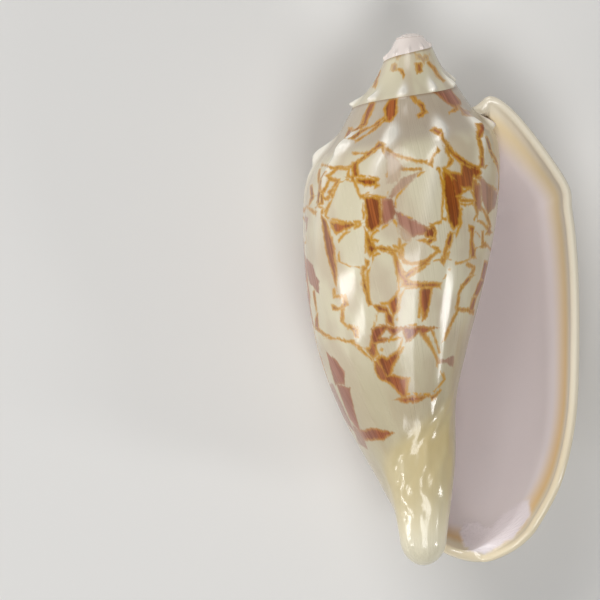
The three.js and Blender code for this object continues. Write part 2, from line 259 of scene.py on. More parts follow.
# How high a nodule or the fold below it is at a place on a section, as a share of a nodule's height.
def nodule_share(angle, place):
    on_spire = smoothstep(angle, *SPIRE_ANGLES)
    peak = lerp(*NODULE_PEAK, on_spire)
    past_peak = np.maximum(0, place - peak)
    phase = 2 * pi * (angle - FOLD_LEAN * past_peak - NODULE_START) / NODULE_STEP
    around = np.exp(NODULE_SHARPNESS * (np.cos(phase) - 1))
    width = np.where(place < peak, lerp(*NODULE_ABOVE, on_spire), lerp(*NODULE_BELOW, on_spire))
    knob = np.exp(-(((place - peak) / width) ** 2))
    fold = FOLD_SHARE * (1 - on_spire) * np.exp(-((past_peak / FOLD_REACH) ** 2))
    fold = fold * smoothstep(place, peak - FOLD_RISE, peak)
    return around * np.maximum(knob, fold) * smoothstep(angle, *NODULE_FADE)


# Wavy folds in the glaze on the mouth's side of the pillar.
def glaze_rise(angle, place):
    facing = smoothstep(angle, *GLAZE_START) * (1 - smoothstep(angle, *GLAZE_END))
    low = smoothstep(place, *GLAZE_TOP) * (1 - smoothstep(place, *GLAZE_FOOT))
    wander = sum(size * np.sin(rate * place) for size, rate in WANDERS)
    ridge = np.sin(np.radians(RIDGES * (angle + wander)))
    ripple = np.sin(np.radians(RIPPLES * (angle - wander) + RIPPLE_LEAN * place))
    return facing * low * (RIDGE_HEIGHT * ridge + RIPPLE_HEIGHT * ripple)


# Rounds the spiral's point into the dome of the embryonic shell.
def round_apex(radius, height):
    depth = VANISHING_HEIGHT - height
    u = np.minimum(depth / DOME_REACH, 1)
    dome_height = SHELL_LENGTH - DOME_HEIGHT * (1 - np.cos(u * pi / 2))
    cone = radius / np.maximum(depth, 1e-6)
    dome_radius = DOME_RADIUS * np.sin(u * pi / 2) * cone / SPIRE_SLOPE
    outside = smoothstep(depth, DOME_TOP * DOME_REACH, DOME_REACH)
    waist = 1 - WAIST * np.exp(-(((depth - WAIST_DEPTH) / WAIST_WIDTH) ** 2))
    return lerp(dome_radius, radius * waist, outside), lerp(dome_height, height, outside)


# Points on the outer face, for arrays of angles and places of one shape.
def shell_points(angle, place, nodules=True):
    angle, place = np.broadcast_arrays(np.asarray(angle, float), place)
    flat_angle = angle.ravel()
    flat_place = place.ravel()
    section = curve_point(section_points(flat_angle), flat_place)
    radius = section[:, 0]
    if nodules:
        radius = radius * (1 + NODULE_HEIGHT * nodule_share(flat_angle, flat_place))
        radius = radius + glaze_rise(flat_angle, flat_place)
    radius, height = round_apex(radius, section[:, 1])
    turn = np.radians(flat_angle)
    points = np.stack([radius * np.cos(turn), radius * np.sin(turn), height], axis=-1)
    return points.reshape(angle.shape + (3,))


def unit(vectors):
    return vectors / np.maximum(np.linalg.norm(vectors, axis=-1, keepdims=True), 1e-9)


# The direction out of the shell's outer face.
def outward(angle, place):
    place_step = 0.02
    angle_step = 0.5
    low = np.maximum(0, place - place_step)
    high = np.minimum(FRONT_END, place + place_step)
    along = shell_points(angle, high, False) - shell_points(angle, low, False)
    before = np.maximum(0, angle - angle_step)
    around = shell_points(angle + angle_step, place, False) - shell_points(before, place, False)
    return unit(np.cross(along, around))


# The lip's edge runs straight down and curves back at the front.
def swept_angle(angle, place):
    left = np.maximum(0, 1 - angle / NOTCH_ANGLE)
    u = np.maximum(0, place - SWEEP_START) / (FRONT_END - SWEEP_START)
    return angle + FRONT_SWEEP * left * left * (1 - np.sqrt(1 - u * u))


# The height where the hollow's floor meets the pillar; it climbs with the whorls.
def floor_height(angle):
    turns = np.maximum(0, angle - NOTCH_ANGLE) / 360
    return VANISHING_HEIGHT + (FLOOR_HEIGHT - VANISHING_HEIGHT) * WHORL_GROWTH ** -turns


HALVINGS = 24


# The place below the belly where each section comes down to a height, found by halving.
def place_at_height(angle, height):
    points = section_points(angle)
    above = np.full(len(angle), float(SHOULDER))
    below = np.full(len(angle), float(FRONT_END))
    for _ in range(HALVINGS):
        middle = (above + below) / 2
        too_high = curve_point(points, middle)[:, 1] > height
        above = np.where(too_high, middle, above)
        below = np.where(too_high, below, middle)
    return below


def roof_place(ends, angle):
    return lerp(ends[0], ends[1], smoothstep(angle, 0, ROOF_ANGLE))


# Places down each column: the ramp, the lip's thickness, the belly and base, the rim's thickness.
def row_places(angle):
    ramp = suture_place(angle)
    lip = ramp + roof_place(ROOF_BELOW_SUTURE, angle - 360)
    floor = place_at_height(np.maximum(angle, 360 + NOTCH_ANGLE), floor_height(angle - 360))
    rows = [0, RAMP_ROWS, LIP_ROW, FLOOR_ROW, ROWS]
    stops = np.stack([0 * ramp, ramp, lip, floor, 0 * ramp + FRONT_END], axis=1)
    return np.array([np.interp(np.arange(ROWS + 1), rows, stop) for stop in stops])


# Collects the shell's points and faces, with values for each face's corners.
class Surface:
    def __init__(self):
        self.points = []
        self.count = 0
        self.faces = []

    def add(self, points):
        points = np.asarray(points, float).reshape(-1, 3)
        self.points.append(points)
        first = self.count
        self.count += len(points)
        return np.arange(first, self.count)

    # Faces between the columns of a grid of point numbers; values has a row for each grid point.
    def grid(self, numbers, values, inward=False):
        corners = [(0, 0), (0, 1), (1, 1), (1, 0)]
        if inward:
            corners.reverse()
        height, width = numbers.shape
        picks = [(slice(i, height - 1 + i), slice(j, width - 1 + j)) for i, j in corners]
        quads = np.stack([numbers[pick].ravel() for pick in picks], axis=1)
        marks = np.stack([values[pick].reshape(len(quads), -1) for pick in picks], axis=1)
        self.faces.append((quads, marks))

    def triangles(self, numbers, values):
        self.faces.append((np.asarray(numbers), np.asarray(values)))


# What each face corner carries: the angle, the distance down from the shoulder, the share inside,
# the distance in from the lip's edge, the place on the flat map, the height of a nodule, and the
# nearness of the suture.
ANGLE = 0
DOWN = 1
INSIDE = 2
FROM_LIP = 3
FLAT_MAP = slice(4, 6)
KNOB = 6
SUTURE = 7
VALUES = 8

# Distances in from the lip for faces that lie deep inside, and the suture's width as a place.
DEEP_WALL = 30
DEEP_END = 60
SUTURE_WIDTH = 0.15


def corner_values(angle, down, inside, from_lip, chart, knob=0, suture=0):
    shape = np.shape(down)
    left, bottom, right, top = chart
    across = np.linspace(left, right, shape[0])[:, None]
    up = np.linspace(bottom, top, shape[1])[None, :]
    parts = [angle, down, inside, from_lip, across, up, knob, suture]
    return np.stack([np.broadcast_to(part, shape) for part in parts], axis=-1)


# Distance down each column from the shoulder, along the surface.
def down_from_shoulder(points, places):
    steps = np.linalg.norm(np.diff(points, axis=1), axis=2)
    travelled = np.concatenate([np.zeros((len(points), 1)), np.cumsum(steps, axis=1)], axis=1)
    shoulder = [np.interp(SHOULDER, place, run) for place, run in zip(places, travelled)]
    return travelled - np.array(shoulder)[:, None]


# Charts on the flat map, as left, bottom, right, top.
BODY_CHART = (0.01, 0.01, 0.77, 0.59)
WALL_CHART = (0.42, 0.61, 0.68, 0.99)
FLOOR_CHART = (0.70, 0.61, 0.74, 0.99)
CAP_CHART = (0.75, 0.61, 0.77, 0.99)
INNER_CHART = (0.01, 0.61, 0.40, 0.99)
RIM_CHART = (0.972, 0.01, 0.99, 0.80)
TIP_CHART = (0.972, 0.82, 0.99, 0.86)
POLE_CHART = (0.972, 0.87, 0.99, 0.90)
APEX_CHART = (0.972, 0.91, 0.99, 0.99)
SPIRE_LEFT = 0.79
SPIRE_STEP = 0.036
SPIRE_WIDTH = 0.0324
SPIRE_BOTTOM = 0.01
SPIRE_TOP = 0.99


def spire_chart(turn):
    left = SPIRE_LEFT + SPIRE_STEP * turn
    return (left, SPIRE_BOTTOM, left + SPIRE_WIDTH, SPIRE_TOP)


# Places on the flat map for triangles side by side.
def fan_chart(chart, count):
    left, bottom, right, top = chart
    edges = np.linspace(bottom, top, count + 1)
    corners = np.zeros((count, 3, 2))
    corners[:, :2, 0] = left
    corners[:, 2, 0] = right
    corners[:, 0, 1] = edges[:-1]
    corners[:, 1, 1] = edges[1:]
    corners[:, 2, 1] = (edges[:-1] + edges[1:]) / 2
    return corners


# The outer face: grids of angles, places and points by column from the lip to the apex.
class OuterFace:
    def __init__(self, surface):
        column_angle = np.arange(LAST_COLUMN + 1) * COLUMN_STEP
        self.places = row_places(column_angle)
        self.angles = swept_angle(column_angle[:, None], self.places)
        self.points = shell_points(self.angles, self.places)
        self.down = down_from_shoulder(self.points, self.places)
        self.numbers = self.number(surface)

    # Numbers the points that exist; a ramp's first row is the shoulder of the whorl before.
    def number(self, surface):
        column = np.arange(LAST_COLUMN + 1)[:, None]
        row = np.arange(ROWS + 1)[None, :]
        in_wall = (column > COLUMNS) & (row > RAMP_ROWS) & (row < LIP_ROW)
        in_solid = (column > COLUMNS + HOLLOW_COLUMN) & (row > RAMP_ROWS)
        below_floor = (column > COLUMNS + NOTCH_COLUMN) & (row > FLOOR_ROW)
        on_shoulder = (row == 0) & (column + COLUMNS <= LAST_COLUMN)
        on_ring = (row == ROWS) & (column == NOTCH_COLUMN)
        own = ~(in_wall | in_solid | below_floor | on_shoulder | on_ring)
        numbers = np.full(own.shape, -1)
        numbers[own] = surface.add(self.points[own])
        shared = LAST_COLUMN + 1 - COLUMNS
        numbers[:shared, 0] = numbers[COLUMNS:, RAMP_ROWS]
        numbers[NOTCH_COLUMN, ROWS] = numbers[NOTCH_COLUMN + COLUMNS, ROWS]
        return numbers

    # Faces of a block of columns and rows.
    def add_block(self, surface, columns, rows, inside, from_lip, chart):
        block = (slice(columns[0], columns[1] + 1), slice(rows[0], rows[1] + 1))
        angles = self.angles[block]
        places = self.places[block]
        knob = nodule_share(angles, places)
        suture = 1 - smoothstep(places, 0, SUTURE_WIDTH)
        values = corner_values(angles, self.down[block], inside, from_lip, chart, knob, suture)
        surface.grid(self.numbers[block], values)


def add_outer_face(surface):
    outer = OuterFace(surface)
    outer.add_block(surface, (0, COLUMNS), (0, ROWS), 0, 0, BODY_CHART)
    for turn in range(1, int(WHORLS) + 1):
        columns = (turn * COLUMNS, min((turn + 1) * COLUMNS, LAST_COLUMN))
        outer.add_block(surface, columns, (0, RAMP_ROWS), 0, 0, spire_chart(turn - 1))
    notch = COLUMNS + NOTCH_COLUMN
    hollow = COLUMNS + HOLLOW_COLUMN
    outer.add_block(surface, (COLUMNS, hollow), (LIP_ROW, FLOOR_ROW), 1, DEEP_WALL, WALL_CHART)
    outer.add_block(surface, (COLUMNS, notch), (FLOOR_ROW, ROWS), 1, DEEP_WALL, FLOOR_CHART)
    return outer


def close_apex(surface, outer):
    pole = surface.add((0, 0, SHELL_LENGTH))[0]
    first = LAST_COLUMN - COLUMNS
    edge = np.concatenate([outer.numbers[first:, 0], outer.numbers[LAST_COLUMN, 1:RAMP_ROWS + 1]])
    fans = np.stack([edge[:-1], edge[1:], np.full(len(edge) - 1, pole)], axis=1)
    values = np.zeros(fans.shape + (VALUES,))
    values[..., ANGLE] = WHORLS * 360
    values[..., FLAT_MAP] = fan_chart(APEX_CHART, len(fans))
    surface.triangles(fans, values)


# The rounded tip of the pillar, below the ring where the outer face ends.
def close_pillar(surface, outer):
    columns = np.arange(NOTCH_COLUMN, NOTCH_COLUMN + COLUMNS)
    turn = np.radians(columns * COLUMN_STEP)
    rings = [outer.numbers[columns, ROWS]]
    for k in range(1, TIP_ROWS):
        bend = k / TIP_ROWS * pi / 2
        radius = RING_RADIUS * cos(bend)
        height = np.full(COLUMNS, RING_HEIGHT * (1 - sin(bend)))
        ring = np.stack([radius * np.cos(turn), radius * np.sin(turn), height], axis=1)
        rings.append(surface.add(ring))
    numbers = np.stack(rings, axis=1)
    numbers = np.concatenate([numbers, numbers[:1]])
    around = np.append(columns, columns[-1] + 1)
    angle = around[:, None] * COLUMN_STEP
    down = outer.down[around, ROWS][:, None] + np.arange(TIP_ROWS) * RING_HEIGHT / TIP_ROWS
    values = corner_values(angle, down, 0, 0, TIP_CHART)
    surface.grid(numbers, values)
    pole = surface.add((0, 0, 0))[0]
    last = numbers[:, -1]
    fans = np.stack([last[:-1], np.full(COLUMNS, pole), last[1:]], axis=1)
    ends = values[:, -1]
    corners = np.stack([ends[:-1], ends[:-1], ends[1:]], axis=1)
    corners[..., FLAT_MAP] = fan_chart(POLE_CHART, COLUMNS)
    surface.triangles(fans, corners)


# Points on the inside of the wall, behind places on the outer face.
def behind_face(angle, place):
    swept = swept_angle(angle, place)
    swell = smoothstep(angle, 0, LIP_PEAK) * (1 - smoothstep(angle, LIP_PEAK, LIP_END))
    thickness = WALL * WHORL_GROWTH ** (-angle / 360) + LIP_SWELL * swell
    behind = outward(swept, place) * np.broadcast_to(thickness, swept.shape)[..., None]
    return shell_points(swept, place, False) - behind


# The inner face's rows are spaced as the outer face's are at a plain angle. Past the notch the floor's
# end is no edge of the lip, so each column counts as some millimetres farther in.
PLAIN_ANGLE = 180.0
NOTCH_FADE = 0.5


# The inner face, pulled in at its ends to meet the old whorl and the pillar.
def add_inner_face(surface, outer):
    columns = np.arange(HOLLOW_COLUMN + 1)
    angle = columns * COLUMN_STEP
    start = roof_place(ROOF_ON_RAMP, angle)
    deep = place_at_height(angle, floor_height(angle) - FLOOR_DROP)
    end = np.where(angle > NOTCH_ANGLE, deep, FRONT_END)
    rows = row_places(np.array([PLAIN_ANGLE]))[0]
    places = lerp(start[:, None], end[:, None], rows[None, :] / FRONT_END)
    points = behind_face(angle[:, None], places)
    roof = outer.points[COLUMNS + columns, LIP_ROW] - points[:, 0]
    floor = outer.points[COLUMNS + columns, FLOOR_ROW] - points[:, -1]
    floor[columns < NOTCH_COLUMN] = 0
    near_roof = 1 - smoothstep(places, start[:, None], start[:, None] + ROOF_FADE)
    near_floor = smoothstep(places, end[:, None] - FLOOR_FADE, end[:, None])
    points = points + roof[:, None] * near_roof[..., None] + floor[:, None] * near_floor[..., None]
    own = np.ones(places.shape, bool)
    own[:, 0] = False
    own[NOTCH_COLUMN:, ROWS] = False
    numbers = np.empty(places.shape, int)
    numbers[own] = surface.add(points[own])
    numbers[:, 0] = outer.numbers[COLUMNS + columns, LIP_ROW]
    numbers[NOTCH_COLUMN:, ROWS] = outer.numbers[COLUMNS + columns[NOTCH_COLUMN:], FLOOR_ROW]
    down = down_from_shoulder(points, np.maximum.accumulate(places, axis=1))
    from_side = np.radians(angle)[:, None] * np.linalg.norm(points[..., :2], axis=-1)
    front = np.where(columns <= NOTCH_COLUMN, 0, (columns - NOTCH_COLUMN) * NOTCH_FADE)
    from_lip = np.minimum(from_side, down[:, -1:] - down + front[:, None])
    values = corner_values(angle[:, None], down, 1, from_lip, INNER_CHART)
    surface.grid(numbers, values, inward=True)
    return numbers, points


# The edge of the wall: down the lip, then along the front to the notch.
def add_rim(surface, outer, inner_numbers, inner_points):
    columns = np.concatenate([np.zeros(ROWS + 1, int), np.arange(1, NOTCH_COLUMN + 1)])
    rows = np.concatenate([np.arange(ROWS + 1), np.full(NOTCH_COLUMN, ROWS)])
    start = outer.points[columns, rows]
    end = inner_points[columns, rows]
    along = np.gradient(start, axis=0)
    forward = unit(np.cross(end - start, along))
    bulge = RIM_ROUND * smoothstep(NOTCH_COLUMN - columns, 0, RIM_FADE)
    numbers = np.empty((len(columns), RIM_STEPS + 1), int)
    numbers[:, 0] = outer.numbers[columns, rows]
    numbers[:, -1] = inner_numbers[columns, rows]
    numbers[0] = outer.numbers[COLUMNS, RAMP_ROWS:LIP_ROW + 1]
    numbers[-1] = outer.numbers[COLUMNS + NOTCH_COLUMN, FLOOR_ROW:][::-1]
    for k in range(1, RIM_STEPS):
        share = k / RIM_STEPS
        across = lerp(start, end, share) + forward * (bulge * sin(share * pi))[:, None]
        numbers[1:-1, k] = surface.add(across[1:-1])
    down = np.broadcast_to(outer.down[columns, rows][:, None], numbers.shape)
    share = np.linspace(-1, 0, RIM_STEPS + 1)[None, :]
    values = corner_values(outer.angles[columns, rows][:, None], down, 1, share, RIM_CHART)
    surface.grid(numbers, values)


# Closes the deep end of the hollow between the old whorl's wall and the inner face.
def close_hollow(surface, outer, inner_numbers):
    wall = outer.numbers[COLUMNS + HOLLOW_COLUMN, LIP_ROW:FLOOR_ROW + 1]
    face = inner_numbers[HOLLOW_COLUMN]
    triangles = []
    a = 0
    b = 0
    while a < len(wall) - 1 or b < len(face) - 1:
        if (b + 1) / (len(face) - 1) <= (a + 1) / (len(wall) - 1):
            triangles.append((wall[a], face[b + 1], face[b]))
            b += 1
        else:
            triangles.append((wall[a], wall[a + 1], face[b]))
            a += 1
    triangles = [corner for corner in triangles if len(set(corner)) == 3]
    values = np.zeros((len(triangles), 3, VALUES))
    values[..., INSIDE] = 1
    values[..., FROM_LIP] = DEEP_END
    values[..., FLAT_MAP] = fan_chart(CAP_CHART, len(triangles))
    surface.triangles(triangles, values)


def build_surface():
    surface = Surface()
    outer = add_outer_face(surface)
    close_apex(surface, outer)
    close_pillar(surface, outer)
    inner_numbers, inner_points = add_inner_face(surface, outer)
    add_rim(surface, outer, inner_numbers, inner_points)
    close_hollow(surface, outer, inner_numbers)
    return surface, outer


# Views in the photograph that the markings are read from: the side seen, the apex's pixel, and how
# far the axis leans to the left at the top, in degrees.
PIXELS_PER_MM = 532.5 / 90
VENTRAL = {"azimuth": 270, "apex": (411, 33), "lean": 1.4}
DORSAL = {"azimuth": 126, "apex": (150.5, 38), "lean": 5.0}

# Cream tents, each a convex outline in pixels of its view.
VENTRAL_TENTS = [
    [(380, 150), (358, 166), (359, 176), (372, 178), (385, 181), (386, 162)],
    [(380, 187), (366, 196), (386, 198), (387, 186)],
    [(345, 181), (338, 185), (331, 203), (326, 216), (345, 222), (362, 221), (361, 205), (353, 184)],
    [(424, 173), (408, 185), (395, 200), (395, 209), (403, 216), (430, 225), (439, 222), (440, 190),
     (436, 172)],
    [(391, 222), (372, 236), (373, 239), (397, 247), (397, 238), (394, 226)],
    [(361, 227), (345, 236), (338, 244), (340, 262), (352, 268), (364, 266), (364, 232)],
    [(384, 252), (373, 258), (368, 272), (369, 298), (372, 304), (386, 303), (397, 290), (395, 275),
     (391, 256)],
    [(412, 240), (403, 247), (403, 258), (410, 262), (422, 259), (434, 251), (424, 243)],
    [(432, 261), (412, 276), (412, 281), (440, 284), (446, 270), (438, 262)],
    [(460, 226), (452, 242), (446, 258), (456, 264), (467, 258), (468, 232)],
    [(455, 163), (445, 170), (450, 173), (459, 174), (459, 166)],
    [(468, 191), (459, 197), (466, 200), (472, 200)],
    [(471, 206), (460, 212), (460, 224), (468, 226), (474, 215)],
    [(489, 162), (478, 177), (486, 184), (497, 191), (498, 176), (494, 164)],
    [(404, 289), (400, 300), (398, 318), (404, 324), (416, 324), (418, 300), (417, 289)],
    [(338, 171), (330, 177), (338, 180), (346, 178), (347, 172)],
    [(418, 334), (404, 348), (393, 366), (392, 374), (410, 376), (436, 370), (434, 358)],
    [(410, 374), (407, 392), (430, 393), (442, 378), (436, 366)],
    [(402, 338), (390, 342), (380, 354), (386, 357), (397, 349)],
    [(378, 312), (384, 313), (385, 325), (376, 324)],
    [(386, 330), (380, 337), (388, 338), (390, 333)],
]
DORSAL_TENTS = [
    [(111, 161), (58, 193), (55, 204), (75, 211), (100, 197), (110, 180)],
    [(94, 146), (76, 164), (82, 173), (97, 163)],
    [(205, 156), (184, 176), (184, 182), (205, 184), (218, 174), (216, 160)],
    [(223, 199), (206, 216), (188, 232), (197, 243), (232, 244), (227, 218)],
    [(166, 223), (141, 243), (152, 251), (177, 252), (172, 232)],
    [(196, 246), (168, 264), (175, 267), (199, 267)],
    [(226, 256), (204, 266), (226, 265)],
    [(246, 214), (240, 226), (250, 235), (261, 234), (260, 216)],
    [(205, 284), (182, 296), (190, 297), (206, 296)],
    [(226, 283), (230, 303), (204, 303), (214, 290)],
    [(258, 274), (247, 283), (258, 284)],
    [(141, 298), (120, 314), (108, 332), (113, 340), (140, 345), (160, 352), (150, 315)],
    [(75, 316), (60, 330), (72, 334), (92, 335), (88, 318)],
    [(84, 236), (58, 238), (48, 252), (54, 270), (68, 276), (84, 276), (88, 256)],
    [(236, 315), (220, 328), (222, 333), (243, 332)],
    [(213, 324), (188, 344), (196, 351), (216, 352)],
    [(236, 338), (219, 362), (222, 377), (239, 376), (242, 345)],
    [(99, 336), (72, 352), (80, 370), (106, 374)],
    [(118, 362), (106, 370), (106, 377), (120, 380), (123, 370)],
    [(155, 368), (130, 376), (122, 388), (138, 392), (154, 386)],
    [(175, 356), (160, 360), (160, 374), (176, 376), (186, 362)],
    [(199, 362), (168, 388), (178, 395), (200, 392)],
    [(206, 380), (196, 397), (205, 404), (222, 397), (221, 382)],
    [(158, 393), (134, 410), (150, 416), (172, 413), (168, 402)],
    [(130, 396), (114, 400), (112, 408), (126, 411), (136, 402)],
    [(92, 396), (63, 430), (96, 458), (134, 440), (131, 425), (112, 398)],
    [(84, 440), (134, 432), (138, 468), (126, 487), (110, 488), (97, 478)],
    [(190, 416), (168, 436), (176, 438), (195, 436)],
    [(187, 443), (165, 452), (170, 456), (185, 450)],
    [(172, 461), (143, 494), (165, 497), (188, 488), (182, 472)],
    [(165, 504), (140, 505), (122, 520), (124, 530), (150, 526), (176, 512)],
]

# Brown patches: how mauve, how solid, and a convex outline.
VENTRAL_PATCHES = [
    (0.1, 1.0, [(351, 163), (358, 162), (359, 178), (352, 180)]),
    (0.05, 1.0, [(354, 178), (377, 181), (376, 187), (364, 189), (356, 184)]),
    (0.15, 1.0, [(363, 198), (380, 199), (381, 224), (377, 229), (370, 236), (366, 228)]),
    (0.85, 0.9, [(380, 199), (391, 200), (394, 213), (392, 220), (383, 225), (380, 225)]),
    (0.1, 1.0, [(364, 225), (370, 236), (379, 247), (376, 252), (369, 258), (366, 250)]),
    (0.9, 0.55, [(398, 180), (424, 172), (408, 185), (395, 200), (388, 198), (393, 190)]),
    (0.9, 0.25, [(384, 153), (392, 156), (400, 168), (398, 184), (386, 184)]),
    (0.95, 0.85, [(394, 212), (403, 217), (430, 227), (424, 234), (410, 237), (397, 226)]),
    (0.7, 0.35, [(397, 226), (410, 236), (408, 243), (400, 240)]),
    (0.05, 1.0, [(422, 229), (431, 227), (435, 233), (433, 240), (424, 238)]),
    (0.05, 1.0, [(440, 168), (450, 175), (457, 194), (460, 210), (459, 227), (451, 234), (446, 220),
                 (441, 190)]),
    (0.1, 1.0, [(447, 177), (461, 180), (463, 194), (457, 204), (450, 198)]),
    (0.4, 0.8, [(470, 181), (480, 185), (480, 212), (474, 212)]),
    (0.1, 0.95, [(446, 173), (460, 164), (474, 169), (472, 190), (456, 191)]),
    (0.1, 1.0, [(462, 163), (478, 169), (481, 178), (474, 182), (468, 172)]),
    (0.15, 0.95, [(469, 176), (476, 180), (478, 205), (476, 222), (472, 205)]),
    (0.75, 0.8, [(476, 178), (497, 194), (494, 207), (486, 216), (481, 202)]),
    (0.2, 0.9, [(318, 213), (326, 220), (333, 240), (337, 266), (337, 292), (333, 292), (325, 250)]),
    (0.05, 0.95, [(328, 221), (362, 224), (350, 230), (336, 236)]),
    (1.0, 0.85, [(305, 256), (312, 264), (319, 282), (318, 292), (311, 284)]),
    (1.0, 0.7, [(304, 215), (309, 218), (308, 232), (304, 235)]),
    (0.15, 1.0, [(419, 288), (434, 287), (430, 300), (428, 318), (421, 322), (418, 300)]),
    (0.1, 1.0, [(386, 300), (397, 293), (398, 309), (392, 316), (387, 309)]),
    (0.2, 1.0, [(372, 306), (388, 308), (393, 318), (394, 327), (386, 322)]),
    (0.45, 1.0, [(370, 327), (386, 325), (400, 327), (404, 338), (384, 340), (376, 350), (369, 342)]),
    (0.45, 1.0, [(400, 328), (420, 325), (437, 329), (414, 337), (405, 340)]),
    (0.1, 0.9, [(362, 346), (376, 345), (378, 355), (372, 362), (366, 352)]),
    (0.2, 1.0, [(374, 357), (388, 350), (399, 347), (398, 358), (392, 374), (386, 378), (378, 366)]),
    (0.25, 1.0, [(379, 377), (409, 374), (406, 398), (398, 394)]),
    (0.4, 1.0, [(393, 398), (405, 394), (431, 394), (418, 403), (404, 404)]),
    (1.0, 0.7, [(438, 360), (453, 356), (452, 366), (441, 363)]),
    (0.8, 0.95, [(326, 352), (334, 357), (345, 372), (346, 386), (336, 386), (330, 368)]),
    (0.8, 0.95, [(335, 382), (350, 387), (355, 408), (361, 434), (352, 420), (342, 400)]),
    (0.5, 1.0, [(358, 432), (378, 428), (394, 431), (384, 442), (366, 441)]),
    (0.9, 0.7, [(355, 426), (362, 431), (367, 450), (360, 444)]),
    (0.1, 0.9, [(370, 341), (377, 343), (374, 362), (368, 354)]),
    (0.1, 0.9, [(372, 358), (382, 364), (388, 378), (380, 380), (374, 370)]),
    (0.1, 1.0, [(397, 98), (388, 100), (383, 110), (385, 124), (391, 124), (397, 114)]),
    (0.1, 0.95, [(376, 103), (369, 104), (363, 116), (360, 127), (367, 127), (371, 116)]),
    (0.6, 0.95, [(430, 92), (450, 89), (460, 102), (456, 110), (444, 104)]),
    (0.3, 0.6, [(456, 104), (470, 112), (473, 118), (462, 116)]),
    (0.05, 0.9, [(414, 64), (422, 64), (423, 73), (417, 74)]),
    (0.1, 0.6, [(391, 65), (397, 65), (397, 72), (390, 72)]),
    (0.0, 0.5, [(414, 54), (429, 55), (428, 61), (416, 61)]),
    (0.0, 0.4, [(392, 54), (400, 54), (398, 60), (392, 60)]),
]
DORSAL_PATCHES = [
    (0.8, 0.8, [(88, 139), (72, 150), (60, 170), (74, 166), (80, 152)]),
    (0.2, 1.0, [(60, 170), (75, 166), (84, 174), (56, 190)]),
    (0.3, 1.0, [(96, 150), (106, 148), (104, 158), (90, 172), (97, 162)]),
    (0.7, 1.0, [(106, 150), (118, 138), (113, 156), (118, 168), (114, 182), (110, 172)]),
    (0.1, 0.9, [(122, 138), (130, 136), (133, 164), (126, 182), (121, 160)]),
    (0.3, 1.0, [(149, 133), (172, 134), (180, 146), (178, 156), (166, 150)]),
    (0.3, 1.0, [(166, 150), (205, 154), (196, 162), (182, 176), (178, 164)]),
    (0.7, 1.0, [(195, 119), (208, 113), (218, 130), (209, 132)]),
    (0.9, 0.8, [(209, 131), (217, 128), (234, 146), (231, 155), (220, 142)]),
    (0.2, 1.0, [(145, 258), (200, 258), (206, 300), (200, 330), (188, 346), (165, 350), (152, 335)]),
    (0.2, 1.0, [(198, 245), (234, 245), (246, 300), (240, 313), (205, 318)]),
    (0.3, 1.0, [(230, 220), (246, 232), (262, 238), (264, 290), (254, 312), (238, 313), (232, 250)]),
    (0.3, 0.9, [(110, 270), (120, 282), (138, 282), (141, 296), (118, 310)]),
    (0.3, 0.9, [(60, 282), (70, 280), (76, 306), (68, 316), (62, 300)]),
    (0.8, 0.75, [(40, 302), (61, 308), (66, 378), (50, 374), (44, 335)]),
    (0.6, 0.9, [(62, 332), (98, 336), (74, 350), (66, 372)]),
    (0.9, 0.7, [(92, 304), (114, 309), (107, 330), (110, 364), (98, 330)]),
    (0.6, 1.0, [(108, 344), (122, 341), (134, 352), (124, 360), (110, 352)]),
    (0.2, 1.0, [(132, 350), (146, 352), (142, 366), (124, 372), (122, 358)]),
    (0.4, 0.9, [(70, 360), (78, 364), (80, 384), (68, 380)]),
    (0.3, 1.0, [(132, 428), (150, 422), (172, 424), (168, 448), (158, 466), (146, 462), (137, 446)]),
    (0.3, 0.9, [(160, 440), (196, 438), (192, 446), (168, 454)]),
    (0.5, 0.9, [(192, 403), (222, 403), (226, 430), (208, 440), (198, 425)]),
    (1.0, 0.8, [(224, 385), (248, 380), (240, 404), (230, 430), (222, 412)]),
    (0.4, 1.0, [(190, 450), (219, 443), (204, 464), (196, 486), (186, 480)]),
    (0.7, 1.0, [(70, 444), (86, 442), (99, 462), (90, 478), (76, 466)]),
    (0.7, 1.0, [(82, 470), (98, 464), (99, 488), (94, 497)]),
    (0.4, 1.0, [(98, 490), (116, 490), (128, 506), (121, 519), (106, 504)]),
    (0.3, 1.0, [(116, 490), (136, 486), (152, 470), (146, 490), (128, 504)]),
    (0.7, 1.0, [(148, 500), (176, 500), (193, 486), (207, 503), (182, 510)]),
    (0.2, 0.9, [(162, 519), (184, 512), (172, 522), (150, 532)]),
    (0.05, 0.85, [(153, 93), (163, 99), (163, 104), (160, 112), (156, 104)]),
    (0.05, 0.6, [(158, 64), (163, 63), (166, 76), (161, 74)]),
    (0.3, 0.85, [(174, 81), (182, 82), (194, 98), (190, 103)]),
    (0.0, 0.8, [(174, 126), (181, 126), (180, 136), (175, 135)]),
]

